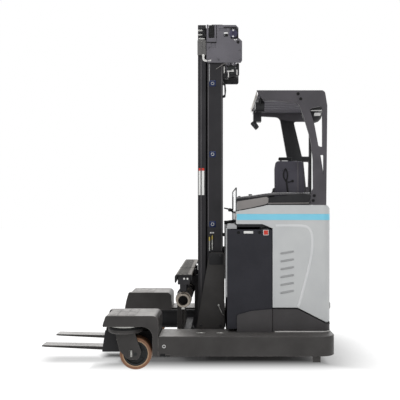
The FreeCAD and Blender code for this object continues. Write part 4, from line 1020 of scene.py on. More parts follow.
@dataclass
class Studio:
    """Floor, world, lights and camera. Lengths are in metres."""

    eye: Point = (0.298, -5.097, 1.246)
    lens: float = 51.12
    shift: Flat = (-0.045, 0.025)
    floor_size: float = 60.0
    shade_reach: float = 0.7
    shade_edge: Flat = (0.35, 0.75)
    body_shade: float = 0.95
    fork_shade: float = 0.48
    front_level: float = 0.27
    back_level: float = 1.25
    bounce: float = 0.72
    floor_grey: float = 0.12
    shade_power: float = 1.6
    past_front: Flat = (-0.60, -0.76)
    body_side: Flat = (0.66, 0.39)
    body_front: Flat = (-0.62, -0.46)
    body_rear: Flat = (1.26, 0.98)
    fork_inner: Flat = (-0.20, -0.33)
    fork_outer: Flat = (-0.53, -0.39)
    fork_tip: Flat = (-1.28, -1.02)
    fork_root: Flat = (-0.30, -0.50)
    horizon: Flat = (-0.35, 0.45)
    lamps: tuple[tuple[str, Point, Point, float, float], ...] = (
        # name, place, aim, size, power
        ("key_softbox", (-2.2, -4.0, 4.6), (0.2, 0.0, 1.0), 3.4, 88.0),
        ("front_softbox", (2.6, -5.2, 2.4), (0.4, 0.0, 1.0), 3.6, 55.0),
        ("top_softbox", (0.2, 0.4, 5.4), (0.2, 0.0, 0.0), 3.6, 190.0),
        ("back_softbox", (2.4, 4.4, 3.6), (0.2, 0.0, 1.2), 3.0, 60.0),
    )

    def build(self) -> None:
        """Makes the floor, the world, the lamps and the camera."""
        self._floor()
        self._world()
        for name, place, aim, size, power in self.lamps:
            self._softbox(name, place, aim, size, power)
        self._camera()
        bpy.context.scene.view_settings.view_transform = "Standard"

    def _floor(self) -> None:
        """Lays a pale floor that looks white in the open and carries painted shadow under the truck."""
        Bench.clear()
        bpy.ops.mesh.primitive_plane_add(size=self.floor_size, location=(0.0, 0.0, -0.0005))
        floor = bpy.context.active_object
        floor.name = "studio_floor"
        material = bpy.data.materials.new("studio_floor")
        material.use_nodes = True
        tree = material.node_tree
        shader = tree.nodes["Principled BSDF"]
        shader.inputs["Base Color"].default_value = (*[self.floor_grey] * 3, 1.0)
        shader.inputs["Roughness"].default_value = 0.9
        shader.inputs["Specular IOR Level"].default_value = 0.1
        shader.inputs["Emission Color"].default_value = (1.0, 1.0, 1.0, 1.0)
        path = tree.nodes.new("ShaderNodeLightPath")
        level = self._shade(tree)
        lift = tree.nodes.new("ShaderNodeMapRange")
        lift.inputs["To Min"].default_value = self.bounce
        tree.links.new(path.outputs["Is Camera Ray"], lift.inputs["Value"])
        tree.links.new(level, lift.inputs["To Max"])
        tree.links.new(lift.outputs["Result"], shader.inputs["Emission Strength"])
        floor.data.materials.append(material)
        floor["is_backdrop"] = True

    def _shade(self, tree: Tree) -> Socket:
        """Works out how light the floor is: open floor is white, and painted shadow darkens it under the truck and
        beside the forks, from occlusion and drawn masks.

        Args:
            tree: Node tree of the floor.

        Returns:
            The level socket, 0 to 1.
        """
        open_sky = tree.nodes.new("ShaderNodeAmbientOcclusion")
        open_sky.inputs["Distance"].default_value = self.shade_reach
        fall = calc(tree, "POWER", open_sky.outputs["AO"], self.shade_power)
        place = axes(tree, tree.nodes.new("ShaderNodeTexCoord").outputs["Object"])
        along, across = place["X"], place["Y"]
        aside = calc(tree, "ABSOLUTE", across, 0.0)
        fall = calc(tree, "MAXIMUM", fall, self._step(tree, aside, *self.shade_edge))
        fall = calc(tree, "MAXIMUM", fall, self._step(tree, along, *self.past_front))
        body = calc(tree, "MULTIPLY", self._step(tree, aside, *self.body_side),
            self._step(tree, along, *self.body_front))
        body = calc(tree, "MULTIPLY", body, self._step(tree, along, *self.body_rear))
        forks = calc(tree, "MULTIPLY", self._step(tree, across, *self.fork_inner),
            self._step(tree, across, *self.fork_outer))
        forks = calc(tree, "MULTIPLY", forks, self._step(tree, along, *self.fork_tip))
        forks = calc(tree, "MULTIPLY", forks, self._step(tree, along, *self.fork_root))
        for mask, depth in ((body, self.body_shade), (forks, self.fork_shade)):
            left = calc(tree, "SUBTRACT", 1.0, calc(tree, "MULTIPLY", mask, depth))
            fall = calc(tree, "MINIMUM", fall, left)
        return fall

    @staticmethod
    def _step(tree: Tree, value: Socket, low: float, high: float) -> Socket:
        """Adds a smooth step from 0 at low to 1 at high and gives its result.

        Args:
            tree: Node tree that gets the nodes.
            value: The value to step on.
            low: Where the step starts.
            high: Where it ends.

        Returns:
            The result socket.
        """
        node = tree.nodes.new("ShaderNodeMapRange")
        node.interpolation_type = "SMOOTHSTEP"
        node.inputs["From Min"].default_value = low
        node.inputs["From Max"].default_value = high
        tree.links.new(value, node.inputs["Value"])
        return node.outputs["Result"]

    def _world(self) -> None:
        """Sets a soft grey light that the camera and the clear screen see as white."""
        world = bpy.data.worlds.new("studio_world")
        bpy.context.scene.world = world
        world.use_nodes = True
        tree = world.node_tree
        shade = tree.nodes["Background"]
        shade.inputs["Color"].default_value = (1.0, 1.0, 1.0, 1.0)
        path = tree.nodes.new("ShaderNodeLightPath")
        seen = calc(tree, "MAXIMUM", path.outputs["Is Camera Ray"], path.outputs["Is Transmission Ray"])
        heading = axes(tree, tree.nodes.new("ShaderNodeTexCoord").outputs["Generated"])["Y"]
        backdrop = span(tree, heading, *self.horizon, self.front_level, self.back_level)
        strength = tree.nodes.new("ShaderNodeMapRange")
        strength.inputs["To Max"].default_value = 1.0
        tree.links.new(backdrop, strength.inputs["To Min"])
        tree.links.new(seen, strength.inputs["Value"])
        tree.links.new(strength.outputs["Result"], shade.inputs["Strength"])

    @staticmethod
    def _softbox(name: str, place: Point, aim: Point, size: float, power: float) -> None:
        """Hangs one square area lamp aimed at a point.

        Args:
            name: Name of the lamp.
            place: Where it hangs.
            aim: Point that it is aimed at.
            size: Side of the square.
            power: Its power in watts.
        """
        Bench.clear()
        bpy.ops.object.light_add(type="AREA", location=place)
        lamp = bpy.context.active_object
        lamp.name = name
        lamp.data.size = size
        lamp.data.energy = power
        lamp.rotation_euler = (Vector(aim) - Vector(place)).to_track_quat("-Z", "Y").to_euler()

    def _camera(self) -> None:
        """Puts the camera where the photograph was taken."""
        Bench.clear()
        bpy.ops.object.camera_add(location=self.eye, rotation=(math.pi / 2, 0.0, 0.0))
        camera = bpy.context.active_object
        camera.name = "studio_camera"
        camera.data.lens = self.lens
        camera.data.sensor_width = 36.0
        camera.data.shift_x, camera.data.shift_y = self.shift
        camera.data.clip_end = 200.0
        bpy.context.scene.camera = camera


@dataclass
class NodePaint:
    """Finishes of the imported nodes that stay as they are."""

    paints: PaintShop

    def plan(self) -> dict[str, Finish]:
        """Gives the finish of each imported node.

        Returns:
            Node names with their finishes.
        """
        coat = COATS
        groups: list[tuple[Finish, str]] = [
            (coat.chassis, "chassis_frame leg_near leg_far wheel_housing_near wheel_housing_far "
                           "steer_fork_near steer_fork_far"),
            (coat.battery, "battery"),
            (coat.panel, "side_panel_near side_panel_far rear_cover"),
            (coat.skirt, "skirts"),
            (coat.trim, "cab_floor console seat_base top_rail steering_wheel"),
            (coat.motor, "drive_motor guide_rails"),
            (coat.carriage, "reach_carriage"),
            (coat.guard, "guard_side_near guard_side_far"),
            (coat.lamp, "lamps"),
            (coat.mast, "mast_outer lift_cylinders mast_middle mast_inner free_lift_cylinder "
                        "carriage_frame tilt_frame"),
            # guard_roof takes the lighter head paint as painted light on its underside.
            (coat.head, "mast_top_plates guard_roof"),
            (coat.chrome, "lift_rods free_lift_rod"),
            (coat.shaft, "fork_shaft"),
            (coat.tread, "cover_plate"),
            (coat.fork, "fork_near fork_far"),
            (coat.hub, "load_wheel_near load_wheel_far drive_yoke drive_wheel"),
            (coat.tyre, "load_tyre_near load_tyre_far drive_tyre"),
        ]
        return {node: finish for finish, names in groups for node in names.split()}

    def apply(self, nodes: dict[str, Piece], kept_out: set[str]) -> None:
        """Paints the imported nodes.

        Args:
            nodes: The frame's nodes by name.
            kept_out: Nodes that a new piece replaces.
        """
        plan = self.plan()
        for name, node in nodes.items():
            if name in kept_out:
                continue
            material = self.paints.clear_sheet() if name == "screen" else self.paints.mix(plan[name])
            for slot in node.material_slots:
                slot.material = material
            LOG.info("%s painted %s", name, material.name)


@dataclass
class Chassis(Bench):
    """Fittings of the legs and the wheel housings."""

    deck_z: float = 284.0
    housing_top: float = 440.0
    steer_at: Flat = (-428.0, 614.0)
    lashing_x: tuple[Flat, ...] = ((128.0, 199.0), (285.0, 347.0))
    lashing_y: float = 655.0

    def build(self) -> None:
        """Builds every fitting of the chassis."""
        self._lashing_plates()
        self._grip_patches()
        self._slew_rings()
        self._marks()
        self._rear_bumper()
        self._skirt_edge_highlight()

    def _lashing_plates(self) -> None:
        """Sets the bright lashing plates into the deck of each leg."""
        plates = []
        for i, (x0, x1) in enumerate(self.lashing_x):
            outline = pane(x0, x1, -self.lashing_y - 15, -self.lashing_y + 15, 8)
            plate = self.plate(f"lashing_{i}", Plane.XY, outline, self.deck_z, self.deck_z + 3, 1.0)
            slot = self.block(f"lashing_slot_{i}", (x0 + 16, -self.lashing_y - 5, self.deck_z + 1),
                (x1 - 16, -self.lashing_y + 5, self.deck_z + 5), 0)
            plates.append(self.cut(plate, [slot]))
        self.both(self.join("lashing_plates", plates), "lashing_plates", COATS.zinc, "chassis_paint")

    def _grip_patches(self) -> None:
        """Coats the roof of each wheel housing with anti-slip patches."""
        top = self.housing_top
        flat = self.plate("grip_top", Plane.XY, pane(-546, -330, -758, -480, 14), top, top + 1.6, 0.5)
        for index in (0, 1):
            x = -474 + index * 72
            flat = self.cut(flat, [self.block("grip_gap", (x, -770, top + 0.4), (x + 5, -470, top + 4), 0)])
        nose = self.plate("grip_nose", Plane.XZ, [(-578.6, 380), (-562.6, 428), (-564.1, 428.6), (-580.1, 380.6)],
            -758, -508, 0.3)
        self.both(self.join("grip_patch", [flat, nose]), "grip_patch", COATS.grip)

    def _slew_rings(self) -> None:
        """Lays the bright slewing ring between each disc and its housing roof."""
        x, y = self.steer_at
        ring = self.collar("slew_ring", Axis.Z, (x, -y, 335.6), 127, 100, 20, 3.0, 64)
        self.both(ring, "slew_ring", COATS.zinc)

    def _marks(self) -> None:
        """Sticks a plain ring mark on each leg and paints the lifting notch below it as a dark patch of painted shade.
        """
        ring = self.collar("leg_mark", Axis.Y, (-113, -777, 208), 13, 8.5, -0.7, 0.2, 28)
        self.both(ring, "leg_mark", COATS.white, "panel_paint")
        notch = self.slab("leg_notch_shade", [(-146, 131.8, 0), (-100, 131.8, 0), (-106, 152, 4), (-140, 152, 4)], -777.6,
            -770, 0.2)
        self.both(notch, "leg_notch_shade", COATS.rubber)

    def _rear_bumper(self) -> None:
        """Fits the towing socket with its pin at the back of the chassis."""
        socket = self.plate("tow_socket", Plane.XY,
            rounded([(1186, -52, 0), (1200, -52, 8), (1200, 52, 8), (1186, 52, 0)]), 292, 352, 2.0)
        pin = self.disc("tow_pin", Axis.Z, (1195, 0, 352), 5, 22, 2.0, 24)
        self.fit("tow_socket", [socket, pin], COATS.lamp)

    def _skirt_edge_highlight(self) -> None:
        """Lays a pale strip under the rear skirts as a painted highlight of the legs' rounded edge."""
        outline = rounded([(746, -621, 0), (1191, -621, 72), (1191, -500, 0), (1194, -500, 0), (1194, -624, 75),
            (746, -624, 0)])
        trim = self.plate("skirt_edge_highlight", Plane.XY, outline, self.deck_z, self.deck_z + 8, 0.8)
        self.both(trim, "skirt_edge_highlight", COATS.pipe)


@dataclass
class LoadWheel(Bench):
    """Fittings of one steered load wheel."""

    side: str
    axle_at: Flat = (-345.0, 125.0)
    face_y: float = 664.0
    plate_y: float = 683.0

    def build(self) -> None:
        """Builds the wheel's bonding rings, hub screws, the axle's keeper and a dark band of painted shade over the
        steering disc.
        """
        sign = -1 if self.side == "near" else 1
        x, z = self.axle_at
        wheel = f"{self.side}_load_wheel"
        rings = [self.collar("bond", Axis.Y, (x, sign * y, z), 104.5, 96, out * sign * 0.9, 0.3, 64)
                 for y, out in ((self.face_y, 1), (self.face_y - 100, -1))]
        self.fit(f"bond_rings_{self.side}", rings, COATS.bond, body=wheel)
        cap = self.turned(f"hub_cap_{self.side}", Axis.Y, (x, sign * (self.face_y - 1), z),
            [(20, 0), (41, 0), (41, sign * 2.2), (33, sign * 4.6), (20, sign * 4.6)], 48)
        screws = []
        for index in range(6):
            angle = index * math.tau / 6 + 0.3
            at = (x + 62 * math.cos(angle), sign * (self.face_y - 17), z + 62 * math.sin(angle))
            screws.append(self.hexagon("hub_screw", Axis.Y, at, 14, sign * 7))
        self.fit(f"hub_fittings_{self.side}", [cap] + screws, COATS.hub, body=wheel)
        keeper = self.plate(f"axle_keeper_{self.side}", Plane.XZ, pane(x - 37.5, x - 22.5, z - 20, z + 32, 6),
            *sorted((sign * (self.plate_y + 5), sign * (self.plate_y + 7))), 0.5)
        heads = [self.hexagon("keeper_screw", Axis.Y, (x - 30, sign * (self.plate_y + 7), z + dz), 9, sign * 4)
            for dz in (-11, 23)]
        end = self.disc("axle_end", Axis.Y, (x, sign * self.plate_y, z), 14, sign * 1.6, 0.5, 32)
        self.fit(f"axle_keeper_{self.side}", [keeper] + heads, COATS.zinc, body=f"{self.side}_knuckle")
        self.book(end, COATS.hub, body=f"{self.side}_knuckle")
        # A dark ring of painted shade for the gap above the steering disc.
        shade = self.collar(f"disc_gap_shade_{self.side}", Axis.Z, (-428, sign * 614, 319), 136.5, 118, 16.2, 1.0, 64)
        self.book(shade, COATS.rubber, "hub_iron", body=f"{self.side}_knuckle")
        end.name = f"axle_end_{self.side}"


@dataclass
class Battery(Bench):
    """Edge strips, hinge covers, rim plugs and labels round the battery."""

    face_y: float = -615.0

    def build(self) -> None:
        """Builds the battery's fittings on both sides."""
        y = self.face_y
        strip = self.block("battery_strip", (361, y + 2, 558), (370.6, y + 16, 1104), 1.5)
        cover = self.slab("hinge_cover",
            [(368, 1096, 4), (446, 1096, 2), (446, 1122, 4), (424, 1138, 14), (374, 1136, 8)], y + 6, y + 96, 3.0)
        self.both(self.join("battery_edge", [strip, cover]), "battery_edge", COATS.mesh, "panel_paint")
        plugs = [self.disc("rim_plug", Axis.Y, (px, side * 604, 1068), 13.2, side * 4, 0.5, 28) for px in (460, 627)
            for side in (-1, 1)]
        self.fit("rim_plugs", plugs, COATS.rubber)
        for name, box, finish in (("battery_plate", (501, 576, 1060, 1080), COATS.white),
            ("battery_notice", (655, 697, 1047, 1090), COATS.white),
            ("battery_notice_field", (659, 693, 1051, 1086), COATS.red)):
            proud = 1.4 if name.endswith("field") else 0.8
            plate = self.plate(name, Plane.XZ, pane(*box, 3, 3), y - proud, y, 0.2)
            self.book(plate, finish, "panel_paint")


@dataclass
class Body(Bench):
    """Stripe, creases, vents and rear door of the body panels."""

    half: float = 620.0
    rear_x: float = 1190.0
    corner: float = 70.0
    stripe_z: Flat = (1167.0, 1215.0)
    crease: tuple[Flat, ...] = ((752, 1122), (870, 1124), (960, 1122), (1010, 1112), (1036, 1070), (1044, 1000),
        (1040, 920), (1014, 790), (975, 640), (938, 500), (930, 482))
    crease_rise: float = 0.35
    vent_rows: int = 6
    vent_pitch: float = 62.0

    def build(self) -> None:
        """Builds every fitting of the body."""
        self._stripes()
        self._creases()
        self._vent_backs()
        self._side_reliefs()
        self._rear_door()
        self._rear_handles()

    def _side_reliefs(self) -> None:
        """Marks the split of the rear skirt's lower edge with a dark joint."""
        joint = self.line("skirt_joint",
            [(744, -self.half - 0.2, 471), (925, -self.half - 0.2, 471), (960, -self.half - 0.2, 456),
            (1120, -self.half - 0.2, 370), (1150, -self.half - 0.2, 353), (1184, -self.half + 14, 352)], 3.5, 3)
        far = self.mirrored("skirt_joint_far", joint)
        joint.name = "skirt_joint_near"
        gap = self.block("joint_gap", (700, 560, 440), (1042, 660, 500), 0)
        self.cut(far, [gap])
        for piece in (joint, far):
            self.book(piece, COATS.rubber)

    def _wrap(self, name: str, low: float, high: float, depth: float, front: float) -> Piece:
        """A film on the near panel that follows it round the rear corner.

        Args:
            name: Name of the piece.
            low: Lower edge.
            high: Upper edge.
            depth: Thickness of the film.
            front: Where it starts in X.

        Returns:
            The film.
        """
        y, x, r = -self.half, self.rear_x, self.corner
        outline = rounded([(front, y, 0), (x, y, r), (x, -500, 0), (x + depth, -500, 0),
            (x + depth, y - depth, r + depth), (front, y - depth, 0)], 8)
        return self.plate(name, Plane.XY, outline, low, high, 0)

    def _stripes(self) -> None:
        """Lays the plain blue stripe round the body."""
        near = self._wrap("stripe_near", *self.stripe_z, 0.9, 446)
        far = self.mirrored("stripe_far", near)
        gap = self.block("stripe_gap", (720, 600, 1100), (1040, 640, 1300), 0)
        self.cut(far, [gap])
        rear = self.block("stripe_rear", (1188, -499, self.stripe_z[0]), (1188.9, 499, self.stripe_z[1]), 0)
        for piece in (near, far, rear):
            self.book(piece, COATS.stripe)

    def _creases(self) -> None:
        """Raises the pressed crease of the near side panel, in a lighter paint that is a painted highlight."""
        bead = self.line("side_crease", [(x, -self.half + 0.8, z) for x, z in self.crease], 11.0, 5)
        out, back = (Matrix.Translation((0, way * self.half / MM_PER_M, 0)) for way in (-1, 1))
        bead.data.transform(out @ Matrix.Diagonal((1, self.crease_rise, 1, 1)) @ back)
        self.book(bead, COATS.crease_highlight)

    def _vent_backs(self) -> None:
        """Fills the slanted slots with shaded mesh and frames each one."""
        frames, fills = [], []
        for row in range(self.vent_rows):
            z = 584 + row * self.vent_pitch
            rim = rounded([(787, z - 3, 9), (899, z + 15, 9), (899, z + 37, 9), (787, z + 19, 9)])
            hole = rounded([(790, z, 7), (896, z + 18, 7), (896, z + 34, 7), (790, z + 16, 7)])
            frame = self.plate("vent_frame", Plane.XZ, rim, -self.half - 1.6, -self.half + 2, 0.8)
            tool = self.plate("vent_tool", Plane.XZ, hole, -self.half - 5, -self.half + 5, 0)
            frames.append(self.cut(frame, [tool]))
            fills.append(self.plate("vent_fill", Plane.XZ, hole, -self.half + 2.5, -self.half + 5, 0))
        self.fit("vent_fills", fills, COATS.mesh, "trim_plastic")
        self.fit("vent_frames", frames, COATS.panel)

    def _rear_door(self) -> None:
        """Marks the service door on the back with its seam, hinges, latch and louvres."""
        x = 1188.0
        seams = [self.block("door_seam", (x, y0, z0), (x + 0.7, y1, z1), 0) for y0, y1, z0, z1 in (
            (-430, 430, 396, 400), (-430, 430, 1100, 1104), (-430, -426, 396, 1104), (426, 430, 396, 1104))]
        self.fit("door_seam", seams, COATS.rubber)
        louvre = self.plate("louvre", Plane.XZ, [(x - 1, 500), (x + 6, 503), (x + 6, 506), (x - 1, 512)], -150, 150,
            0.6)
        louvres = self.copies("rear_louvres", louvre, [(0, 0, 30 * i) for i in range(8)])
        self.book(louvres, COATS.panel)
        latch = self.turned("door_latch", Axis.X, (x, 380, 760), [(0, 0), (16, 0), (16, 3), (11, 5), (11, 7), (0, 7)],
            32)
        hinges = [self.disc("door_hinge", Axis.Z, (x + 3, -432, z), 6, 60, 1.5, 20) for z in (500, 940)]
        self.fit("door_fittings", [latch] + hinges, COATS.lamp)

    def _rear_handles(self) -> None:
        """Fits the dark grab handle low on each rear corner."""
        handle = self.line("rear_handle",
            [(1178, -540, 452), (1194, -540, 456), (1194, -540, 480), (1194, -540, 508), (1178, -540, 513)], 5)
        self.both(handle, "rear_handle", COATS.lamp)


@dataclass
class Mast(Bench):
    """Labels, anchor rods, edge strips and carriage fittings of the mast's own stages."""

    home: ClassVar[str] = "mast_base"
    outer_y: float = -390.0
    middle_y: float = -386.0
    blue_z: tuple[float, ...] = (1128.0, 1708.0, 2295.0)

    def build(self) -> None:
        """Builds the mast's fittings."""
        self._labels()
        self._anchor_rods()
        self._edge_strips()
        self._lead_sockets()
        self._wipers()
        self._reach_carriage_screws()

    def _labels(self) -> None:
        """Sticks on the label with its red head and the blue marks."""
        y = self.middle_y
        for name, low, high, finish in (("mast_label", 1370, 1594, COATS.white),
            ("mast_label_head", 1572, 1594, COATS.red)):
            proud = 1.0 if name.endswith("head") else 0.7
            plate = self.plate(name, Plane.XZ, pane(137, 184, low, high, 3, 3), y - proud, y, 0)
            self.book(plate, finish, "panel_paint", body="middle_stage")
        mark = self.plate("mast_mark", Plane.XZ, pane(226, 280, -26, 26, 8), self.outer_y - 0.8, self.outer_y, 0.2)
        ring = self.collar("mast_mark_ring", Axis.Y, (253, self.outer_y, 0), 14, 9, -1.1, 0.2, 24)
        marks = self.copies("mast_marks", mark, [(0, 0, z) for z in self.blue_z])
        rings = self.copies("mast_mark_rings", ring, [(0, 0, z) for z in self.blue_z])
        self.book(marks, COATS.blue)
        self.book(rings, COATS.zinc, "panel_paint")

    def _anchor_rods(self) -> None:
        """Hangs the two threaded chain anchors with their nuts on the outer stage."""
        y = self.outer_y - 9
        for side, sign in SIDES_OF_NEAR:
            rods, caps = [], []
            for x, low in ((228, 906), (251, 918)):
                rods.append(self.disc("anchor_rod", Axis.Z, (x, sign * y, low), 5, 84, 0.8, 20))
                caps.append(self.disc("anchor_cap", Axis.Z, (x, sign * y, low + 84), 6.5, 34, 1.5, 20))
                for z in (low + 18, low + 44):
                    rods.append(self.hexagon("anchor_nut", Axis.Z, (x, sign * y, z), 13, 7))
            foot = self.block("anchor_foot", (218, *sorted((sign * y - 7, sign * self.outer_y))[:1], 900),
                (262, max(sign * y + 7, sign * self.outer_y), 910), 1.5)
            eye = self.block("anchor_eye", (219, min(sign * y - 5, sign * self.outer_y), 1030),
                (260, max(sign * y + 5, sign * self.outer_y), 1040), 1.5)
            self.fit(f"anchor_rods_{side}", rods, COATS.zinc)
            self.fit(f"anchor_caps_{side}", caps, COATS.yellow_zinc)
            self.fit(f"anchor_feet_{side}", [foot, eye], COATS.mast)
            tags = [self.plate("anchor_tag", Plane.XZ, pane(x, x + 13, 1052, 1062, 2, 3),
                *sorted((sign * self.outer_y, sign * (self.outer_y - 1.2))), 0.2) for x in (232, 252)]
            self.fit(f"anchor_tags_{side}", tags, COATS.white, "panel_paint")

    def _edge_strips(self) -> None:
        """Paints highlights along the rolled edges of both channels as slim bright beads, and lays a bright strip on
        the outer rail.
        """
        for side, sign in SIDES_OF_NEAR:
            y = sign * self.middle_y
            bead = self.plate("rail_edge_highlight", Plane.XY,
                rounded([(153, y, 0), (163, y, 0), (163, y - sign * 1.4, 1), (153, y - sign * 1.4, 1)], 3), 184, 2500,
                0)
            self.book(bead, COATS.lit, body="middle_stage")
            bead.name = f"middle_edge_highlight_{side}"
            y = sign * self.outer_y
            beads = [self.plate("rail_edge_highlight", Plane.XY,
                rounded([(a, y, 0), (b, y, 0), (b, y - sign * 1.4, 1), (a, y - sign * 1.4, 1)], 3), low, 2738, 0)
                     for a, b, low in ((213, 223, 1110), (325, 334, 905))]
            bright = self.block("rail_bright_strip", (224, min(y, y - sign * 1.2), 2312), (230, max(y, y - sign * 1.2), 2458),
                0.4)
            self.fit(f"outer_edge_highlights_{side}", beads, COATS.lit)
            self.book(bright, COATS.mesh)
            bright.name = f"rail_bright_strip_{side}"

    def _lead_sockets(self) -> None:
        """Plugs the dark hose sockets onto the rear edge of the outer stage."""
        parts = [self.block("lead_socket", (339, -386, z0), (352, -362, z1), 3)
            for z0, z1 in ((1028, 1056), (872, 944), (893, 918))]
        nut = self.hexagon("lead_nut", Axis.X, (350, -374, 1042), 17, 6)
        self.fit("lead_sockets", parts + [nut], COATS.lamp)

    def _wipers(self) -> None:
        """Rings the top of each lift cylinder with its gland and wiper."""
        glands = [self.collar("gland", Axis.Z, (295, y, 1690), 33, 21, 18, 2.0, 36) for y in (-262, 262)]
        self.fit("lift_glands", glands, COATS.lamp, "mast_paint")

    def _reach_carriage_screws(self) -> None:
        """Screws the side plates of the reach carriage and fits its latch lever."""
        for side, sign in SIDES:
            y = sign * 437
            heads = [self.hexagon("carriage_screw", Axis.Y, (x, y, z), 17, sign * 7)
                     for x, z in ((238, 872), (318, 872), (318, 300), (160, 300))]
            self.fit(f"carriage_screws_{side}", heads, COATS.mast)
            cap = self.slab(f"carriage_cap_{side}",
                [(226, 798, 3), (337, 798, 3), (337, 886, 14), (240, 896, 20), (222, 880, 8)],
                *sorted((y, y + sign * 4)), 1.5)
            self.book(cap, COATS.trim, "mast_paint")
            lever = self.line(f"latch_lever_{side}",
                [(301, y + sign * 7, 470), (312, y + sign * 9, 440), (330, y + sign * 9, 405),
                (343, y + sign * 7, 382)], 4)
            pivot = self.disc("latch_pivot", Axis.Y, (303, y, 466), 9, sign * 9, 1.5, 24)
            self.fit(f"latch_lever_{side}", [lever, pivot], COATS.zinc)


@dataclass
class MastHead(Bench):
    """Pulleys, hose guide and bracket at the top of the middle stage."""

    home: ClassVar[str] = "middle_stage"
    plate_y: float = -410.0
    pulley_at: Flat = (425.0, 2600.0)

    def build(self) -> None:
        """Builds the mast head's fittings."""
        self._pulley_faces()
        self._window_fills()
        self._flange_fittings()
        self._bracket()
        self._junction_box()
        self._pale_pipe()
        self._hose_guide()
        self._plate_screws()

    def _pulley_faces(self) -> None:
        """Dresses both pulleys with grooved rims, spokes and axle nuts."""
        x, z = self.pulley_at
        for side, sign in SIDES:
            inner = sign * 388
            hub = self.turned(f"pulley_hub_{side}", Axis.Y, (x, inner, z),
                [(0, 0), (30, 0), (30, sign * 3), (24, sign * 6), (12, sign * 6), (0, sign * 6)], 36)
            nuts = [self.hexagon("pulley_nut", Axis.Y, (x + 22 * math.cos(a), inner + sign * 5, z + 22 * math.sin(a)),
                11, sign * 4)
                    for a in (0.4, 1.66, 2.91, 4.17, 5.43)]
            rim = self.collar(f"pulley_rim_{side}", Axis.Y, (x, inner, z), 67, 60, sign * 2.5, 0.8, 48)
            self.fit(f"pulley_face_{side}", [hub, rim], COATS.pulley)
            self.fit(f"pulley_nuts_{side}", nuts, COATS.white)

    def _window_fills(self) -> None:
        """Backs the plates' windows and dresses the near one: pulley eye, access hole and bolts; dark plates of
        painted shade mark the recesses and a dark sheet lies inside the far plate.
        """
        face = self.plate_y
        backs = [self.block("window_back", (x0, side * 404 - 2, z0), (x1, side * 404 + 2, z1), 0)
                 for x0, x1, z0, z1 in ((308, 371, 2716, 2748), (388, 431, 2716, 2748), (237, 281, 2578, 2632))
            for side in (-1, 1)]
        self.fit("window_backs", backs, COATS.head)
        # Dark sheet of painted shade inside the far plate.
        shade_sheet = self.block("head_shade_sheet", (207, 395.5, 2467), (493, 398.5, 2560), 0.5)
        self.book(shade_sheet, COATS.trim, "mast_paint")
        # Thin dark plates of painted shade in the recesses and the access hole.
        dark = [self.plate("recess", Plane.XZ, rounded(shape, 4), face - 0.8, face, 0.2) for shape in (
            [(344, 2747, 3), (452, 2747, 3), (452, 2757, 3), (344, 2757, 3)],
            [(402, 2660, 6), (463, 2660, 6), (463, 2745, 10), (402, 2745, 6)],
            [(346, 2677, 4), (380, 2677, 4), (380, 2700, 4), (346, 2700, 4)])]
        dark.append(self.disc("recess", Axis.Y, (464, face, 2632), 13, -0.8, 0.2, 28))
        self.fit("head_recess_shade", dark, COATS.rubber)
        eye = self.turned("pulley_eye", Axis.Y, (425, face, 2702),
            [(0, -1), (10, -1), (10, -5), (20, -4), (30, -4), (34, -2), (34, -0.5), (0, -0.5)], 40)
        self.book(eye, COATS.pulley)
        lip = self.block("access_lip", (346, face - 2.5, 2700), (381, face, 2711), 1.5)
        bolts = [self.hexagon("eye_bolt", Axis.Y, (x, face - 3.6, z), 11, -4) for x, z in ((424, 2728), (422, 2678))]
        small = [self.disc("plate_stud", Axis.Y, (x, face, z), 5, -3, 1.0, 20) for x, z in ((436, 2650), (449, 2653))]
        self.fit("head_bright_parts", [lip] + bolts + small, COATS.white)

    def _flange_fittings(self) -> None:
        """Bolts the chain stop, its studs and the slanted stay to the flange beside the bracket."""
        y = -386.0
        bars = [self.block("flange_bar", (132, y - 10, z0), (x1, y, z1), 2.5)
            for x1, z0, z1 in ((196, 2742, 2762), (176, 2708, 2724), (190, 2676, 2690))]
        stay = self.slab("flange_stay",
            [(150, 2752, 4), (166, 2758, 4), (201, 2700, 4), (201, 2668, 4), (186, 2690, 4)], y - 13, y - 2, 1.5)
        self.fit("flange_bars", bars + [stay], COATS.lamp, "mast_paint")
        studs = []
        for x, z, run in ((133, 2731, 30), (133, 2696, 28), (137, 2662, 44)):
            studs.append(self.disc("flange_stud", Axis.X, (x, y - 7, z), 8, run, 1.5, 20))
            studs.append(self.hexagon("flange_nut", Axis.X, (x + run, y - 6, z), 15, 8))
        self.fit("flange_studs", studs, COATS.zinc)

    def _bracket(self) -> None:
        """Stands the ribbed bracket on the near rail's head, with a dark strip of painted shade under its foot."""
        y = -402.0
        outline = rounded([(204, 2632, 6), (284, 2632, 6), (284, 2776, 8), (269, 2776, 6), (269, 2664, 8),
            (220, 2664, 8), (220, 2776, 6), (204, 2776, 8)])
        yoke = self.plate("head_bracket", Plane.XZ, outline, y - 14, y, 2.5)
        self.book(yoke, COATS.head)
        # Dark strip of painted shade under the bracket's foot, joined into the buffer.
        shade = self.block("bracket_shade", (204, y - 9, 2624), (287, y, 2632.5), 2)
        core = self.block("head_buffer", (222, y - 10, 2666), (267, y - 1, 2772), 3)
        rib = self.block("buffer_rib", (223, y - 12, 2672), (266, y - 9, 2679), 1.5)
        ribs = self.copies("buffer_ribs", rib, [(0, 0, 14 * i) for i in range(7)])
        self.fit("head_buffer", [core, ribs, shade], COATS.rubber)

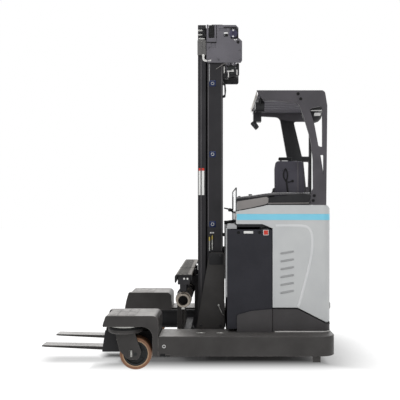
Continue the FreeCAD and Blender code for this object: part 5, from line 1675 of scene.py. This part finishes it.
    def _junction_box(self) -> None:
        """Mounts the small box with its lid and cable gland beside the rail."""
        y = self.plate_y + 18
        box = self.block("junction_box", (128, y - 14, 2526), (199, y, 2650), 4)
        lid = self.block("junction_lid", (133, y - 18, 2533), (166, y - 13, 2643), 2)
        cap = self.block("junction_cap", (172, y - 19, 2586), (194, y - 13, 2634), 3)
        screws = [self.socket_screw("lid_screw", Axis.Y, (px, y - 17.5, pz), 3.5, -2.4) for px in (139, 160)
            for pz in (2540, 2636)]
        self.fit("junction_box", [box, lid, cap] + screws, COATS.cast)
        gland = self.disc("junction_gland", Axis.Z, (176, y - 8, 2530), 11, -10, 1.5, 24)
        self.book(gland, COATS.lamp)

    def _pale_pipe(self) -> None:
        """Bends the pale protective pipe from the box back to the rail."""
        y = self.plate_y + 10
        pipe = self.line("pale_pipe",
            [(177, y, 2532), (177, y, 2512), (177, y, 2494), (186, y, 2481), (204, y, 2480), (238, y, 2480)], 9, 6)
        cuffs = [self.disc("pipe_cuff", Axis.Z, (177, y, 2514), 12, 18, 2.0, 32),
                 self.disc("pipe_cuff", Axis.X, (214, y, 2480), 12, 27, 2.0, 32)]
        self.fit("pale_pipe", [pipe] + cuffs, COATS.pipe)

    def _hose_guide(self) -> None:
        """Hangs the hose roller in its cage under the near pulley, with its clip."""
        y = -356.0
        cage = self.slab("guide_cage",
            [(341, 2344, 14), (380, 2340, 20), (430, 2356, 12), (474, 2362, 14), (474, 2466, 8), (452, 2466, 4),
            (452, 2378, 8), (361, 2366, 8), (361, 2466, 4), (341, 2466, 6)], y - 24, y + 20, 2.0)
        roller = self.turned("guide_roller", Axis.Y, (410, y - 16, 2410),
            [(8, 0), (36, 0), (28, 10), (28, 22), (36, 32), (8, 32)], 36)
        stay = self.block("guide_stay", (372, y - 20, 2438), (452, y + 14, 2450), 2)
        self.fit("hose_guide", [cage, stay], COATS.lamp, "mast_paint")
        self.book(roller, COATS.hub)
        bars = [self.line("guide_bar", [(x, y - 26, high), (x + 2, y - 27, (high + low) / 2), (x, y - 26, low)], 4.5)
                for x, high, low in ((349, 2436, 2382), (384, 2398, 2346), (455, 2412, 2366))]
        bars.append(self.block("guide_link", (374, y - 28, 2394), (430, y - 22, 2403), 2))
        bars.append(self.disc("guide_axle", Axis.Y, (420, y - 22, 2404), 9, -5, 1.5, 24))
        self.fit("guide_bars", bars, COATS.pipe, "shaft_steel")
        lead = self.line("sensor_lead",
            [(281, -393, 2413), (300, -394, 2424), (330, -393, 2446), (356, -392, 2460), (382, -392, 2466)], 2.6)
        self.book(lead, COATS.band)
        hose = self.line("guide_hose",
            [(352, y, 2462), (356, y, 2400), (372, y, 2352), (410, y, 2338), (446, y, 2360), (458, y, 2410),
            (460, y, 2462)], 8, 4)
        self.book(hose, COATS.hose)
        clip = self.slab("rail_clip",
            [(339, 2180, 3), (360, 2186, 4), (366, 2240, 6), (360, 2300, 6), (339, 2306, 3), (339, 2290, 2),
            (350, 2284, 4), (352, 2206, 4), (339, 2198, 2)], -376, -352, 1.2)
        self.book(clip, COATS.lamp, "mast_paint", body="mast_base")

    def _plate_screws(self) -> None:
        """Screws the head plates on."""
        for side, sign in SIDES:
            y = sign * 410
            heads = [self.socket_screw("plate_screw", Axis.Y, (x, y, z), 8, sign * 6)
                     for x, z in ((222, 2490), (222, 2590), (300, 2490), (480, 2490), (480, 2560), (350, 2690))]
            self.fit(f"plate_screws_{side}", heads, COATS.head, "hub_iron")


@dataclass
class ForkCarriage(Bench):
    """Anti-slip cover, end plates and shaft fittings of the fork carriage."""

    home: ClassVar[str] = "tilt_head"
    shaft_at: Flat = (26.0, 541.0)
    end_y: float = 678.0
    cover_x: Flat = (-36.0, 93.0)
    cover_z: float = 742.0

    def build(self) -> None:
        """Builds every fitting of the fork carriage."""
        self._studs()
        self._end_plates()
        self._shaft_ends()
        self._fork_faces()

    def _studs(self) -> None:
        """Presses rows of raised rings into both lengths of the cover and marks the seam."""
        ring = self.turned("cover_stud", Axis.Z, (self.cover_x[0] + 24, -642, self.cover_z - 0.4),
            [(5.5, 0), (10.5, 0), (9, 2.6), (7, 2.6)], 14)
        moves = []
        for row in range(38):
            y = row * 34.0 + (14.0 if row > 18 else 0.0)
            shift = 17 if row % 2 else 0
            moves += [(shift + 34 * i, y, 0) for i in range(3 if shift == 0 else 2)]
        self.book(self.copies("cover_studs", ring, moves), COATS.hub, "tread_steel")
        seam = self.block("cover_seam", (self.cover_x[0] - 0.5, -124, self.cover_z - 1),
            (self.cover_x[1] + 0.4, -112, self.cover_z + 1.6), 0.5)
        lip = self.block("cover_seam_lip", (self.cover_x[0] - 0.6, -124, self.cover_z - 60),
            (self.cover_x[0] + 1, -112, self.cover_z - 8), 0.3)
        self.fit("cover_seam", [seam, lip], COATS.lamp)

    def _end_plates(self) -> None:
        """Closes each end of the cover with a dark hooped profile and its screwed lug."""
        x0, x1, z = self.cover_x[0] - 3, self.cover_x[1] + 3, self.cover_z + 2
        outline = rounded([(x0, z - 66, 4), (x0, z, 18), (x1, z, 14), (x1, z - 44, 3), (x1 - 11, z - 44, 3),
            (x1 - 11, z - 11, 8), (x0 + 14, z - 11, 10), (x0 + 12, z - 58, 3)])
        for side, sign in SIDES:
            hoop = self.plate(f"cover_end_{side}", Plane.XZ, outline,
                *sorted((sign * (self.end_y - 4), sign * (self.end_y + 5))), 1.5)
            self.book(hoop, COATS.lamp)
            lug = self.slab(f"cover_lug_{side}", [(-16, 664, 6), (78, 664, 10), (78, 731, 4), (-16, 731, 4)],
                *sorted((sign * 659, sign * 665)), 1.0)
            self.book(lug, COATS.mast)
            heads = [self.hexagon("lug_screw", Axis.Y, (x, sign * 665, 710), 13, sign * 6) for x in (34, 60)]
            self.fit(f"lug_screws_{side}", heads, COATS.white)

    def _shaft_ends(self) -> None:
        """Fits the stop ring, the sleeve and the keeper at each end of the shaft, with a dark disc of painted shade
        inside the bore.
        """
        x, z = self.shaft_at
        for side, sign in SIDES:
            y = sign * self.end_y
            ring = self.collar(f"shaft_rim_{side}", Axis.Y, (x, y - sign * 0.5, z), 53, 38.6, sign * 2.5, 1.0, 56)
            self.book(ring, COATS.shaft)
            sleeve = self.collar(f"shaft_sleeve_{side}", Axis.Y, (x, y - sign * 78, z), 62, 51.6, sign * 22, 3.0, 56)
            band = self.collar(f"shaft_band_{side}", Axis.Y, (x, y - sign * 56, z), 61, 52, sign * 2.5, 1.0, 56)
            self.book(band, COATS.shaft)
            self.book(sleeve, COATS.gloss)
            # Dark disc of painted shade inside the bore.
            bore = self.disc(f"shaft_bore_shade_{side}", Axis.Y, (x, y - sign * 70, z), 39, -sign * 6, 1.0, 48)
            self.book(bore, COATS.rubber)
            keeper = self.slab(f"shaft_keeper_{side}", [(12, 472, 4), (40, 472, 4), (36, 492, 2), (16, 492, 2)],
                *sorted((y - sign * 26, y - sign * 4)), 1.2)
            self.book(keeper, COATS.zinc)

    def _fork_faces(self) -> None:
        """Lays steel showing wear over the load faces of both forks, lightened as a painted highlight."""
        top = [(-1196, 97.2), (-52, 72.2), (-52, 73.0), (-1196, 98.0)]
        face = [(-48.8, 92), (-48, 92), (-48, 478), (-48.8, 478)]
        for side, sign in SIDES:
            low, high = sorted((sign * 158, sign * 272))
            blade = self.plate("blade_face", Plane.XZ, top, low, high, 0)
            shank = self.plate("shank_face", Plane.XZ, face, low, high, 0)
            self.fit(f"fork_face_{side}", [blade, shank], COATS.fork_top, body=f"{side}_fork")


@dataclass
class Guard(Bench):
    """Bolts, sheets of painted shade, lamps and camera of the overhead guard."""

    near_y: float = -620.0
    bolts: tuple[Flat, ...] = ((929.0, 2162.0), (950.0, 2122.0), (1056.0, 1359.0), (1048.0, 1320.0))
    far_bolts: tuple[Flat, ...] = ((929.0, 2162.0), (950.0, 2122.0), (1096.0, 1359.0), (1092.0, 1318.0))

    def build(self) -> None:
        """Builds the guard's fittings."""
        heads = [self.socket_screw("guard_bolt", Axis.Y, (x, self.near_y, z), 12, -5) for x, z in self.bolts]
        self.fit("guard_bolts_near", heads, COATS.rubber, "hub_iron")
        heads = [self.socket_screw("guard_bolt", Axis.Y, (x, 210, z), 12, 5) for x, z in self.far_bolts]
        self.fit("guard_bolts_far", heads, COATS.rubber, "hub_iron")
        self._creases()
        self._shade_sheets()
        self._work_lamp()
        self._cab_lamp()
        self._camera()

    def _creases(self) -> None:
        """Folds two shallow creases into the near side plate and edges the roof's front."""
        beads = [self.line("guard_crease",
            [(a, self.near_y + 1.4, b), ((a + c) / 2, self.near_y + 1.0, (b + d) / 2), (c, self.near_y + 1.4, d)], 3.2,
            3)
                 for a, b, c, d in ((912, 2158, 940, 2098), (664, 2124, 924, 2101))]
        self.fit("guard_creases", beads, COATS.guard)
        foot = self.slab("pillar_foot",
            [(1027, 1286, 2), (1027, 1368, 30), (1046, 1412, 20), (1060, 1450, 0), (1068, 1450, 0), (1068, 1286, 2)],
            self.near_y - 1.0, self.near_y + 28, 1.0)
        self.book(foot, COATS.guard)
        sill = self.slab("far_sill",
            [(1068, 1395, 4), (1068, 1452, 4), (1092, 1440, 12), (1120, 1462, 12), (1150, 1458, 6), (1150, 1395, 4)],
            182, 208, 2.0)
        self.book(sill, COATS.guard)
        strip = self.block("roof_edge", (603, -588, 2150), (606.5, 178, 2184), 1.2)
        self.book(strip, COATS.shaft, "guard_paint")

    def _shade_sheets(self) -> None:
        """Covers the far side's inner face with dark sheet as painted shade: leaning pillar, cross bar and rear post.
        """
        lean = self.slab("pillar_shade_sheet",
            [(878, 2084, 4), (1000, 2068, 4), (1068, 1758, 0), (1086, 1700, 0), (1110, 1466, 0), (1116, 1300, 4),
            (1052, 1300, 4), (1024, 1468, 0), (940, 1740, 0)], 178, 180.5, 0.5, steps=3)
        bar = self.block("bar_shade_sheet", (1078, 178.3, 1702), (1146, 180.5, 1736), 0.5)
        post = self.block("post_shade_sheet", (1147, 178, 1300), (1167, 180.5, 2058), 0.5)
        self.fit("guard_shade_sheets", [lean, bar, post], COATS.trim, "guard_paint")

    def _work_lamp(self) -> None:
        """Glazes the work lamp and hangs it in its bow."""
        x, y, z = 598.0, -560.0, 2072.0
        lens = self.turned("lamp_lens", Axis.X, (x, y, z), [(0, -5), (14, -4), (26, -2), (37, 2), (37, 6), (0, 6)], 40)
        self.book(lens, COATS.white, "screen_clear")
        bezel = self.collar("lamp_bezel", Axis.X, (x + 8, y, z), 46, 37, -11, 2.0, 44)
        bow = self.line("lamp_bow",
            [(632, y - 48, z), (632, y - 49, z + 40), (632, y - 40, z + 62), (632, y, z + 66), (632, y + 40, z + 62),
            (632, y + 49, z + 40), (632, y + 48, z)], 4)
        self.fit("lamp_bezel", [bezel, bow], COATS.lamp, "lamp_plastic")

    def _cab_lamp(self) -> None:
        """Hangs the cab lamp's bowl with its lens and bar under the roof."""
        bowl = self.turned("cab_lamp_bowl", Axis.Z, (1094, -280, 2078),
            [(0, 0), (84, 0), (87, -6), (85, -34), (74, -62), (52, -84), (24, -94), (0, -96)], 44)
        stem = self.block("cab_lamp_stem", (1072, -330, 2076), (1176, -230, 2133), 8)
        self.fit("cab_lamp_bowl", [bowl, stem], COATS.lamp, "lamp_plastic")
        lens = self.slab("cab_lamp_lens", [(1098, 2030, 5), (1152, 2034, 5), (1154, 2057, 5), (1100, 2056, 5)], -371,
            -340, 2)
        bar = self.slab("cab_lamp_bar",
            [(1072, 2070, 2), (1150, 2070, 2), (1182, 2082, 2), (1182, 2088, 2), (1148, 2077, 2), (1072, 2077, 2)],
            -372, -340, 1, steps=3)
        self.fit("cab_lamp_lens", [lens, bar], COATS.white, "screen_clear")

    def _camera(self) -> None:
        """Hangs the small swivel camera with its hood and lens under the roof's front."""
        arm = self.line("camera_arm", [(612, -400, 1990), (604, -400, 1972), (600, -400, 1958)], 9)
        body = self.slab("camera_body", [(566, 1962, 6), (600, 1984, 6), (636, 1930, 8), (612, 1908, 8)], -432, -368,
            4)
        hood = self.collar("camera_hood", Axis.Y, (596, -432, 1944), 18, 11, -9, 2.0, 28)
        self.fit("swivel_camera", [arm, body, hood], COATS.lamp, "lamp_plastic")
        lens = self.disc("camera_lens", Axis.Y, (596, -434, 1944), 11, -3, 1.0, 28)
        self.book(lens, COATS.display)


@dataclass
class Seat(Bench):
    """Padded cushion and back on a hard shell."""

    voxel: float = 0.006
    pressure: float = 4.0
    cap: float = 0.011
    quick_share: float = 0.6
    frames: int = 20

    def build(self) -> None:
        """Builds the shell and both pads."""
        self._cushion()
        self._back()
        self._shell()
        self._fittings()

    def _puffed(self, piece: Piece) -> Piece:
        """Fills a pad by a cloth simulation and keeps the result in its mesh.

        Args:
            piece: Closed pad, smaller than the finished one by the cap.

        Returns:
            The same piece, puffed up.
        """
        self.apply(piece, "REMESH", mode="VOXEL", voxel_size=self.voxel)
        start = [vertex.co.copy() for vertex in piece.data.vertices]
        cloth = piece.modifiers.new("filling", "CLOTH")
        cloth.settings.use_pressure = True
        cloth.settings.uniform_pressure_force = self.pressure
        cloth.settings.quality = 5
        cloth.settings.effector_weights.gravity = 0.0
        scene = bpy.context.scene
        for frame in range(1, self.frames + 1):
            scene.frame_set(frame)
        shape = piece.evaluated_get(bpy.context.evaluated_depsgraph_get())
        ends = [vertex.co.copy() for vertex in shape.data.vertices]
        piece.modifiers.remove(cloth)
        scene.frame_set(1)
        for vertex, begin, end in zip(piece.data.vertices, start, ends):
            move = end - begin
            if move.length > self.cap:
                move *= self.cap / move.length
            vertex.co = begin + move
        return piece

    def _channels(self, piece: Piece, lines: list[tuple[int, float]], depth: float, width: float) -> Piece:
        """Presses sewn channels into a pad, then subdivides it once.

        Args:
            piece: The puffed pad.
            lines: Coordinate index and place in millimetres of each channel.
            depth: Depth of a channel in millimetres.
            width: Half width of a channel in millimetres.

        Returns:
            The finished pad.
        """
        for vertex in piece.data.vertices:
            press = 0.0
            for index, at in lines:
                gap = abs(vertex.co[index] * MM_PER_M - at) / width
                press = max(press, math.exp(-gap * gap))
            vertex.co -= vertex.normal * press * depth / MM_PER_M
        self.apply(piece, "SUBSURF", levels=1, render_levels=1)
        self.take(piece)
        bpy.ops.object.shade_smooth()
        return piece

    def _cushion(self) -> None:
        """Makes the seat cushion with its side bolsters and cross seams."""
        pad = self.block("cushion", (758, -416, 1097), (1004, 8, 1160), 26)
        pad = self._channels(self._puffed(pad), [(0, 806), (0, 956), (1, -290), (1, -150)], 5.0, 8.0)
        pad.name = "seat_cushion_pad"
        self.book(pad, COATS.seat)
        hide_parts("seat_cushion")

    def _back(self) -> None:
        """Makes the back pad, widest at the shoulders' foot and crowned to the front."""
        outline = rounded([(774, 1190, 20), (988, 1190, 20), (988, 1560, 60), (966, 1634, 40), (790, 1634, 40),
            (772, 1560, 60)], 6)
        pad = self.plate("back", Plane.XZ, outline, -452, -410, 16)
        pad = self._channels(self._puffed(pad), [(2, 1330), (2, 1470), (0, 812), (0, 950)], 4.0, 8.0)
        pad.name = "seat_back_pad"
        self.book(pad, COATS.seat)
        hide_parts("seat_back")

    def _shell(self) -> None:
        """Moulds the hard back shell with a rolled rim and a raised panel."""
        outline = rounded([(760, 1177, 12), (1001, 1177, 12), (1001, 1580, 60), (988, 1645, 30), (768, 1645, 30),
            (757, 1580, 60)], 7)
        shell = self.plate("seat_shell", Plane.XZ, outline, -474, -458, 6)
        panel = rounded([(790, 1230, 26), (968, 1230, 26), (962, 1570, 40), (796, 1570, 40)], 7)
        boss = self.plate("seat_shell_panel", Plane.XZ, panel, -479, -472, 4)
        flare = self.slab("seat_flare",
            [(768, 1420, 10), (768, 1330, 2), (694, 1330, 6), (698, 1362, 10), (742, 1392, 20), (756, 1450, 10)], -470,
            -396, 6)
        self.book(flare, COATS.lamp)
        stile = self.block("seat_stile", (940, -481, 1186), (954, -475, 1636), 2.5)
        self.book(stile, COATS.guard, "trim_plastic")
        self.fit("seat_shell", [shell, boss], COATS.shell)

    def _fittings(self) -> None:
        """Fits the strap loop behind the back, the top handle and the belt buckle."""
        loop = self.line("seat_loop",
            [(850, -482, 1484), (834, -484, 1500), (828, -486, 1536), (836, -487, 1566), (846, -487, 1586),
            (856, -487, 1566), (864, -486, 1536), (860, -484, 1500), (852, -482, 1484)], 5)
        stem = self.line("seat_loop_stem",
            [(852, -482, 1490), (858, -484, 1440), (866, -484, 1390), (868, -482, 1356)], 6)
        arm = self.line("seat_loop_arm", [(864, -484, 1472), (884, -484, 1474), (904, -482, 1482)], 4)
        feet = [self.disc("loop_foot", Axis.Y, (x, -478, z), 11, -6, 2.0, 24)
            for x, z in ((868, 1356), (904, 1482), (851, 1486))]
        self.fit("seat_loop", [loop, stem, arm] + feet, COATS.rubber)
        rest = self.block("top_handle", (792, -470, 1650), (900, -436, 1676), 7)
        posts = [self.block("handle_post", (x, -466, 1636), (x + 12, -452, 1656), 2) for x in (806, 874)]
        rib = self.block("handle_rib", (796, -472, 1653), (800, -434, 1674), 1)
        ribs = self.copies("handle_ribs", rib, [(11 * i, 0, 0) for i in range(9)])
        self.fit("top_handle", [rest, ribs] + posts, COATS.rubber)
        buckle = self.block("belt_buckle", (1006, -380, 1110), (1030, -350, 1160), 5)
        button = self.block("belt_button", (1011, -375, 1158), (1025, -355, 1164), 2)
        self.book(buckle, COATS.rubber)
        self.book(button, COATS.red)
        button.name = "belt_button"


@dataclass
class Cab(Bench):
    """Controls, display, pedals, screen frame and front bracket of the cab."""

    console_z: float = 1263.0
    floor_z: float = 356.0

    def build(self) -> None:
        """Builds the cab's fittings."""
        self._screen_frame()
        self._front_bracket()
        self._display()
        self._levers()
        self._steering_cap()
        self._pedals()
        self._rail_fittings()
        self._armrest()

    def _screen_frame(self) -> None:
        """Edges the clear screen with a dark seal."""
        y0, y1, z0, z1 = -558, 558, 1152, 1425
        strips = [self.block("seal", (438.6, a, c), (448.4, b, d), 1.5) for a, b, c, d in
                  ((y0, y1, z0, z0 + 9), (y0, y1, z1 - 5, z1 + 1), (y0, y0 + 6, z0, z1), (y1 - 6, y1, z0, z1))]
        self.fit("screen_seal", strips, COATS.rubber)

    def _front_bracket(self) -> None:
        """Fits the upright bar, its arm and knob in front of the screen, and the hose stub under it."""
        bar = self.block("front_bar", (419, -372, 1244), (427, -340, 1357), 3)
        arm = self.line("front_arm",
            [(349, -356, 1262), (372, -356, 1258), (400, -356, 1248), (422, -356, 1226), (446, -356, 1222)], 6)
        knob = self.turned("front_knob", Axis.X, (421, -356, 1247),
            [(0, 0), (9, 0), (9, -10), (14, -14), (14, -32), (10, -38), (0, -38)], 28)
        self.fit("front_bracket", [bar, arm, knob], COATS.lamp)
        hose = self.line("lead_stub", [(350, -330, 1142), (376, -330, 1146), (410, -330, 1152), (448, -330, 1154)], 11,
            4)
        cuff = self.collar("lead_cuff", Axis.X, (350, -330, 1142), 15, 8, 22, 2.0, 28)
        self.fit("lead_stub", [hose, cuff], COATS.hose)

    def _display(self) -> None:
        """Stands the display on the console, with its dark glass and keys."""
        z = self.console_z
        case = self.slab("display_case",
            [(470, z - 4, 4), (548, z - 4, 4), (530, z + 30, 8), (486, z + 108, 8), (470, z + 100, 8)], -190, -10, 4)
        self.book(case, COATS.trim)
        glass = self.plate("display_glass", Plane.XZ,
            [(533.5, z + 27), (535.2, z + 28), (491.2, z + 106), (489.5, z + 105)], -176, -24, 0.4)
        self.book(glass, COATS.display)
        key = self.disc("console_key", Axis.Z, (560, -180, z - 2), 8, 6, 1.5, 24)
        self.book(self.copies("console_keys", key, [(0, 24 * i, 0) for i in range(5)]), COATS.lamp, "lamp_plastic")

    def _levers(self) -> None:
        """Lines up the mast's finger levers and the stop button on the console."""
        z = self.console_z
        pod = self.block("lever_pod", (560, -330, z - 4), (690, -210, z + 26), 10)
        self.book(pod, COATS.trim)
        stick = self.turned("finger_lever", Axis.Z, (600, -310, z + 22),
            [(0, 0), (9, 0), (5, 8), (4.5, 30), (10, 38), (11, 48), (7, 55), (0, 56)], 24)
        self.book(self.copies("finger_levers", stick, [(0, 26 * i, 0) for i in range(4)]), COATS.lamp, "lamp_plastic")
        stop = self.turned("stop_button", Axis.Z, (660, -180, z - 2),
            [(0, 0), (16, 0), (16, 8), (11, 10), (11, 18), (20, 22), (20, 29), (14, 33), (0, 34)], 32)
        self.book(stop, COATS.red, "lamp_plastic")

    def _steering_cap(self) -> None:
        """Caps the steering wheel's hub."""
        cap = self.turned("wheel_cap", Axis.Z, (600, 90, 1345),
            [(0, 4), (30, 4), (34, 10), (30, 17), (18, 20), (0, 20)], 36)
        self.book(cap, COATS.trim, body="hand_wheel")

    def _pedals(self) -> None:
        """Sets three ribbed pedals and a ribbed mat on the cab floor."""
        z = self.floor_z
        pads = []
        for x, w in ((785, 58), (868, 58), (950, 66)):
            pad = self.plate("pedal", Plane.YZ,
                rounded([(430, z + 22, 4), (520, z + 62, 4), (516, z + 70, 4), (426, z + 30, 4)]), x, x + w, 1.5)
            stem = self.plate("pedal_stem", Plane.YZ, [(470, z), (490, z), (500, z + 56), (484, z + 50)],
                x + w / 2 - 6, x + w / 2 + 6, 1.0)
            rib = self.plate("pedal_rib", Plane.YZ, [(436, z + 34), (440, z + 36), (439, z + 39), (435, z + 37)],
                x + 4, x + w - 4, 0.4)
            ribs = self.copies("pedal_ribs", rib, [(0, 12 * i, 5.3 * i) for i in range(7)])
            pads += [pad, stem, ribs]
        self.fit("pedals", pads, COATS.rubber)
        mat = self.block("floor_mat", (752, 130, z - 1), (1034, 592, z + 4), 1.5)
        rib = self.block("mat_rib", (758, 136, z + 3), (1028, 141, z + 5.5), 0.8)
        self.fit("floor_mat", [mat, self.copies("mat_ribs", rib, [(0, 22 * i, 0) for i in range(21)])], COATS.rubber)

    def _rail_fittings(self) -> None:
        """Puts the glossy tube, the grey band, the bright sill and the knob on the side rail."""
        tube = self.line("rail_tube",
            [(448, -605, 1336), (500, -605, 1343), (580, -605, 1352), (690, -605, 1368), (760, -605, 1373),
            (880, -605, 1374), (1022, -605, 1371)], 12, 5)
        self.book(tube, COATS.gloss, "trim_plastic")
        under = self.slab("rail_under",
            [(447, 1300, 0), (700, 1330, 0), (700, 1366, 4), (580, 1351, 0), (447, 1335, 0)], -612, -602, 1.0, steps=3)
        self.book(under, COATS.lamp)
        shape = rounded([(447, 1244, 2), (560, 1264, 0), (647, 1285, 0), (676, 1292, 6), (694, 1304, 8),
            (696, 1338, 8), (682, 1350, 8), (580, 1334, 0), (447, 1313, 4)], 4)
        band = self.plate("rail_band", Plane.XZ, shape, -623.4, -621.6, 0.5)
        sill = self.slab("rail_sill", [(690, 1296, 2), (1016, 1298, 2), (1016, 1304, 2), (690, 1302, 2)], -624, -621.6,
            0.5, steps=3)
        self.fit("rail_band", [band, sill], COATS.band)
        knob = self.block("rail_knob", (828, -602, 1358), (874, -580, 1384), 5)
        self.book(knob, COATS.lamp)

    def _armrest(self) -> None:
        """Pads the armrest beside the operator."""
        arm = self.block("armrest", (1012, -400, 1296), (1038, -140, 1330), 10)
        stay = self.block("armrest_stay", (1022, -380, 1180), (1036, -330, 1300), 4)
        self.fit("armrest", [arm, stay], COATS.trim)


class Truck:
    """The whole scene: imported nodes, fittings and studio."""

    replaced: set[str] = {"seat_cushion", "seat_back"}

    def __init__(self) -> None:
        """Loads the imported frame."""
        self.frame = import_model()
        self.paints = PaintShop()
        self.loaded_size = self._size()

    @staticmethod
    def _size() -> list[list[float]]:
        """Gives the present bounds as plain lists of numbers."""
        return [[float(value) for value in corner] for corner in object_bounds()]

    def build(self) -> None:
        """Sets up the studio and dresses the truck."""
        Studio().build()
        nodes = self.frame["nodes"]
        NodePaint(self.paints).apply(nodes, self.replaced)
        for assembly in self._assemblies():
            assembly.build()
            LOG.info("%s built with %d pieces", type(assembly).__name__, assembly.booked)
        self._note_size()

    def _assemblies(self) -> list[Bench]:
        """Lists the sub-assemblies in building order.

        Returns:
            The sub-assemblies.
        """
        shop = self.paints
        return [
            Chassis(shop),
            LoadWheel(shop, "near"),
            LoadWheel(shop, "far"),
            Battery(shop),
            Body(shop),
            Cab(shop),
            Seat(shop),
            Guard(shop),
            Mast(shop),
            MastHead(shop),
            ForkCarriage(shop),
        ]

    def _note_size(self) -> None:
        {"loaded": self.loaded_size, "finished": self._size()}


def main() -> None:
    """Builds the scene."""
    logging.basicConfig(level=logging.INFO, format="%(name)s: %(message)s")
    Truck().build()


if __name__ == "__main__":
    main()
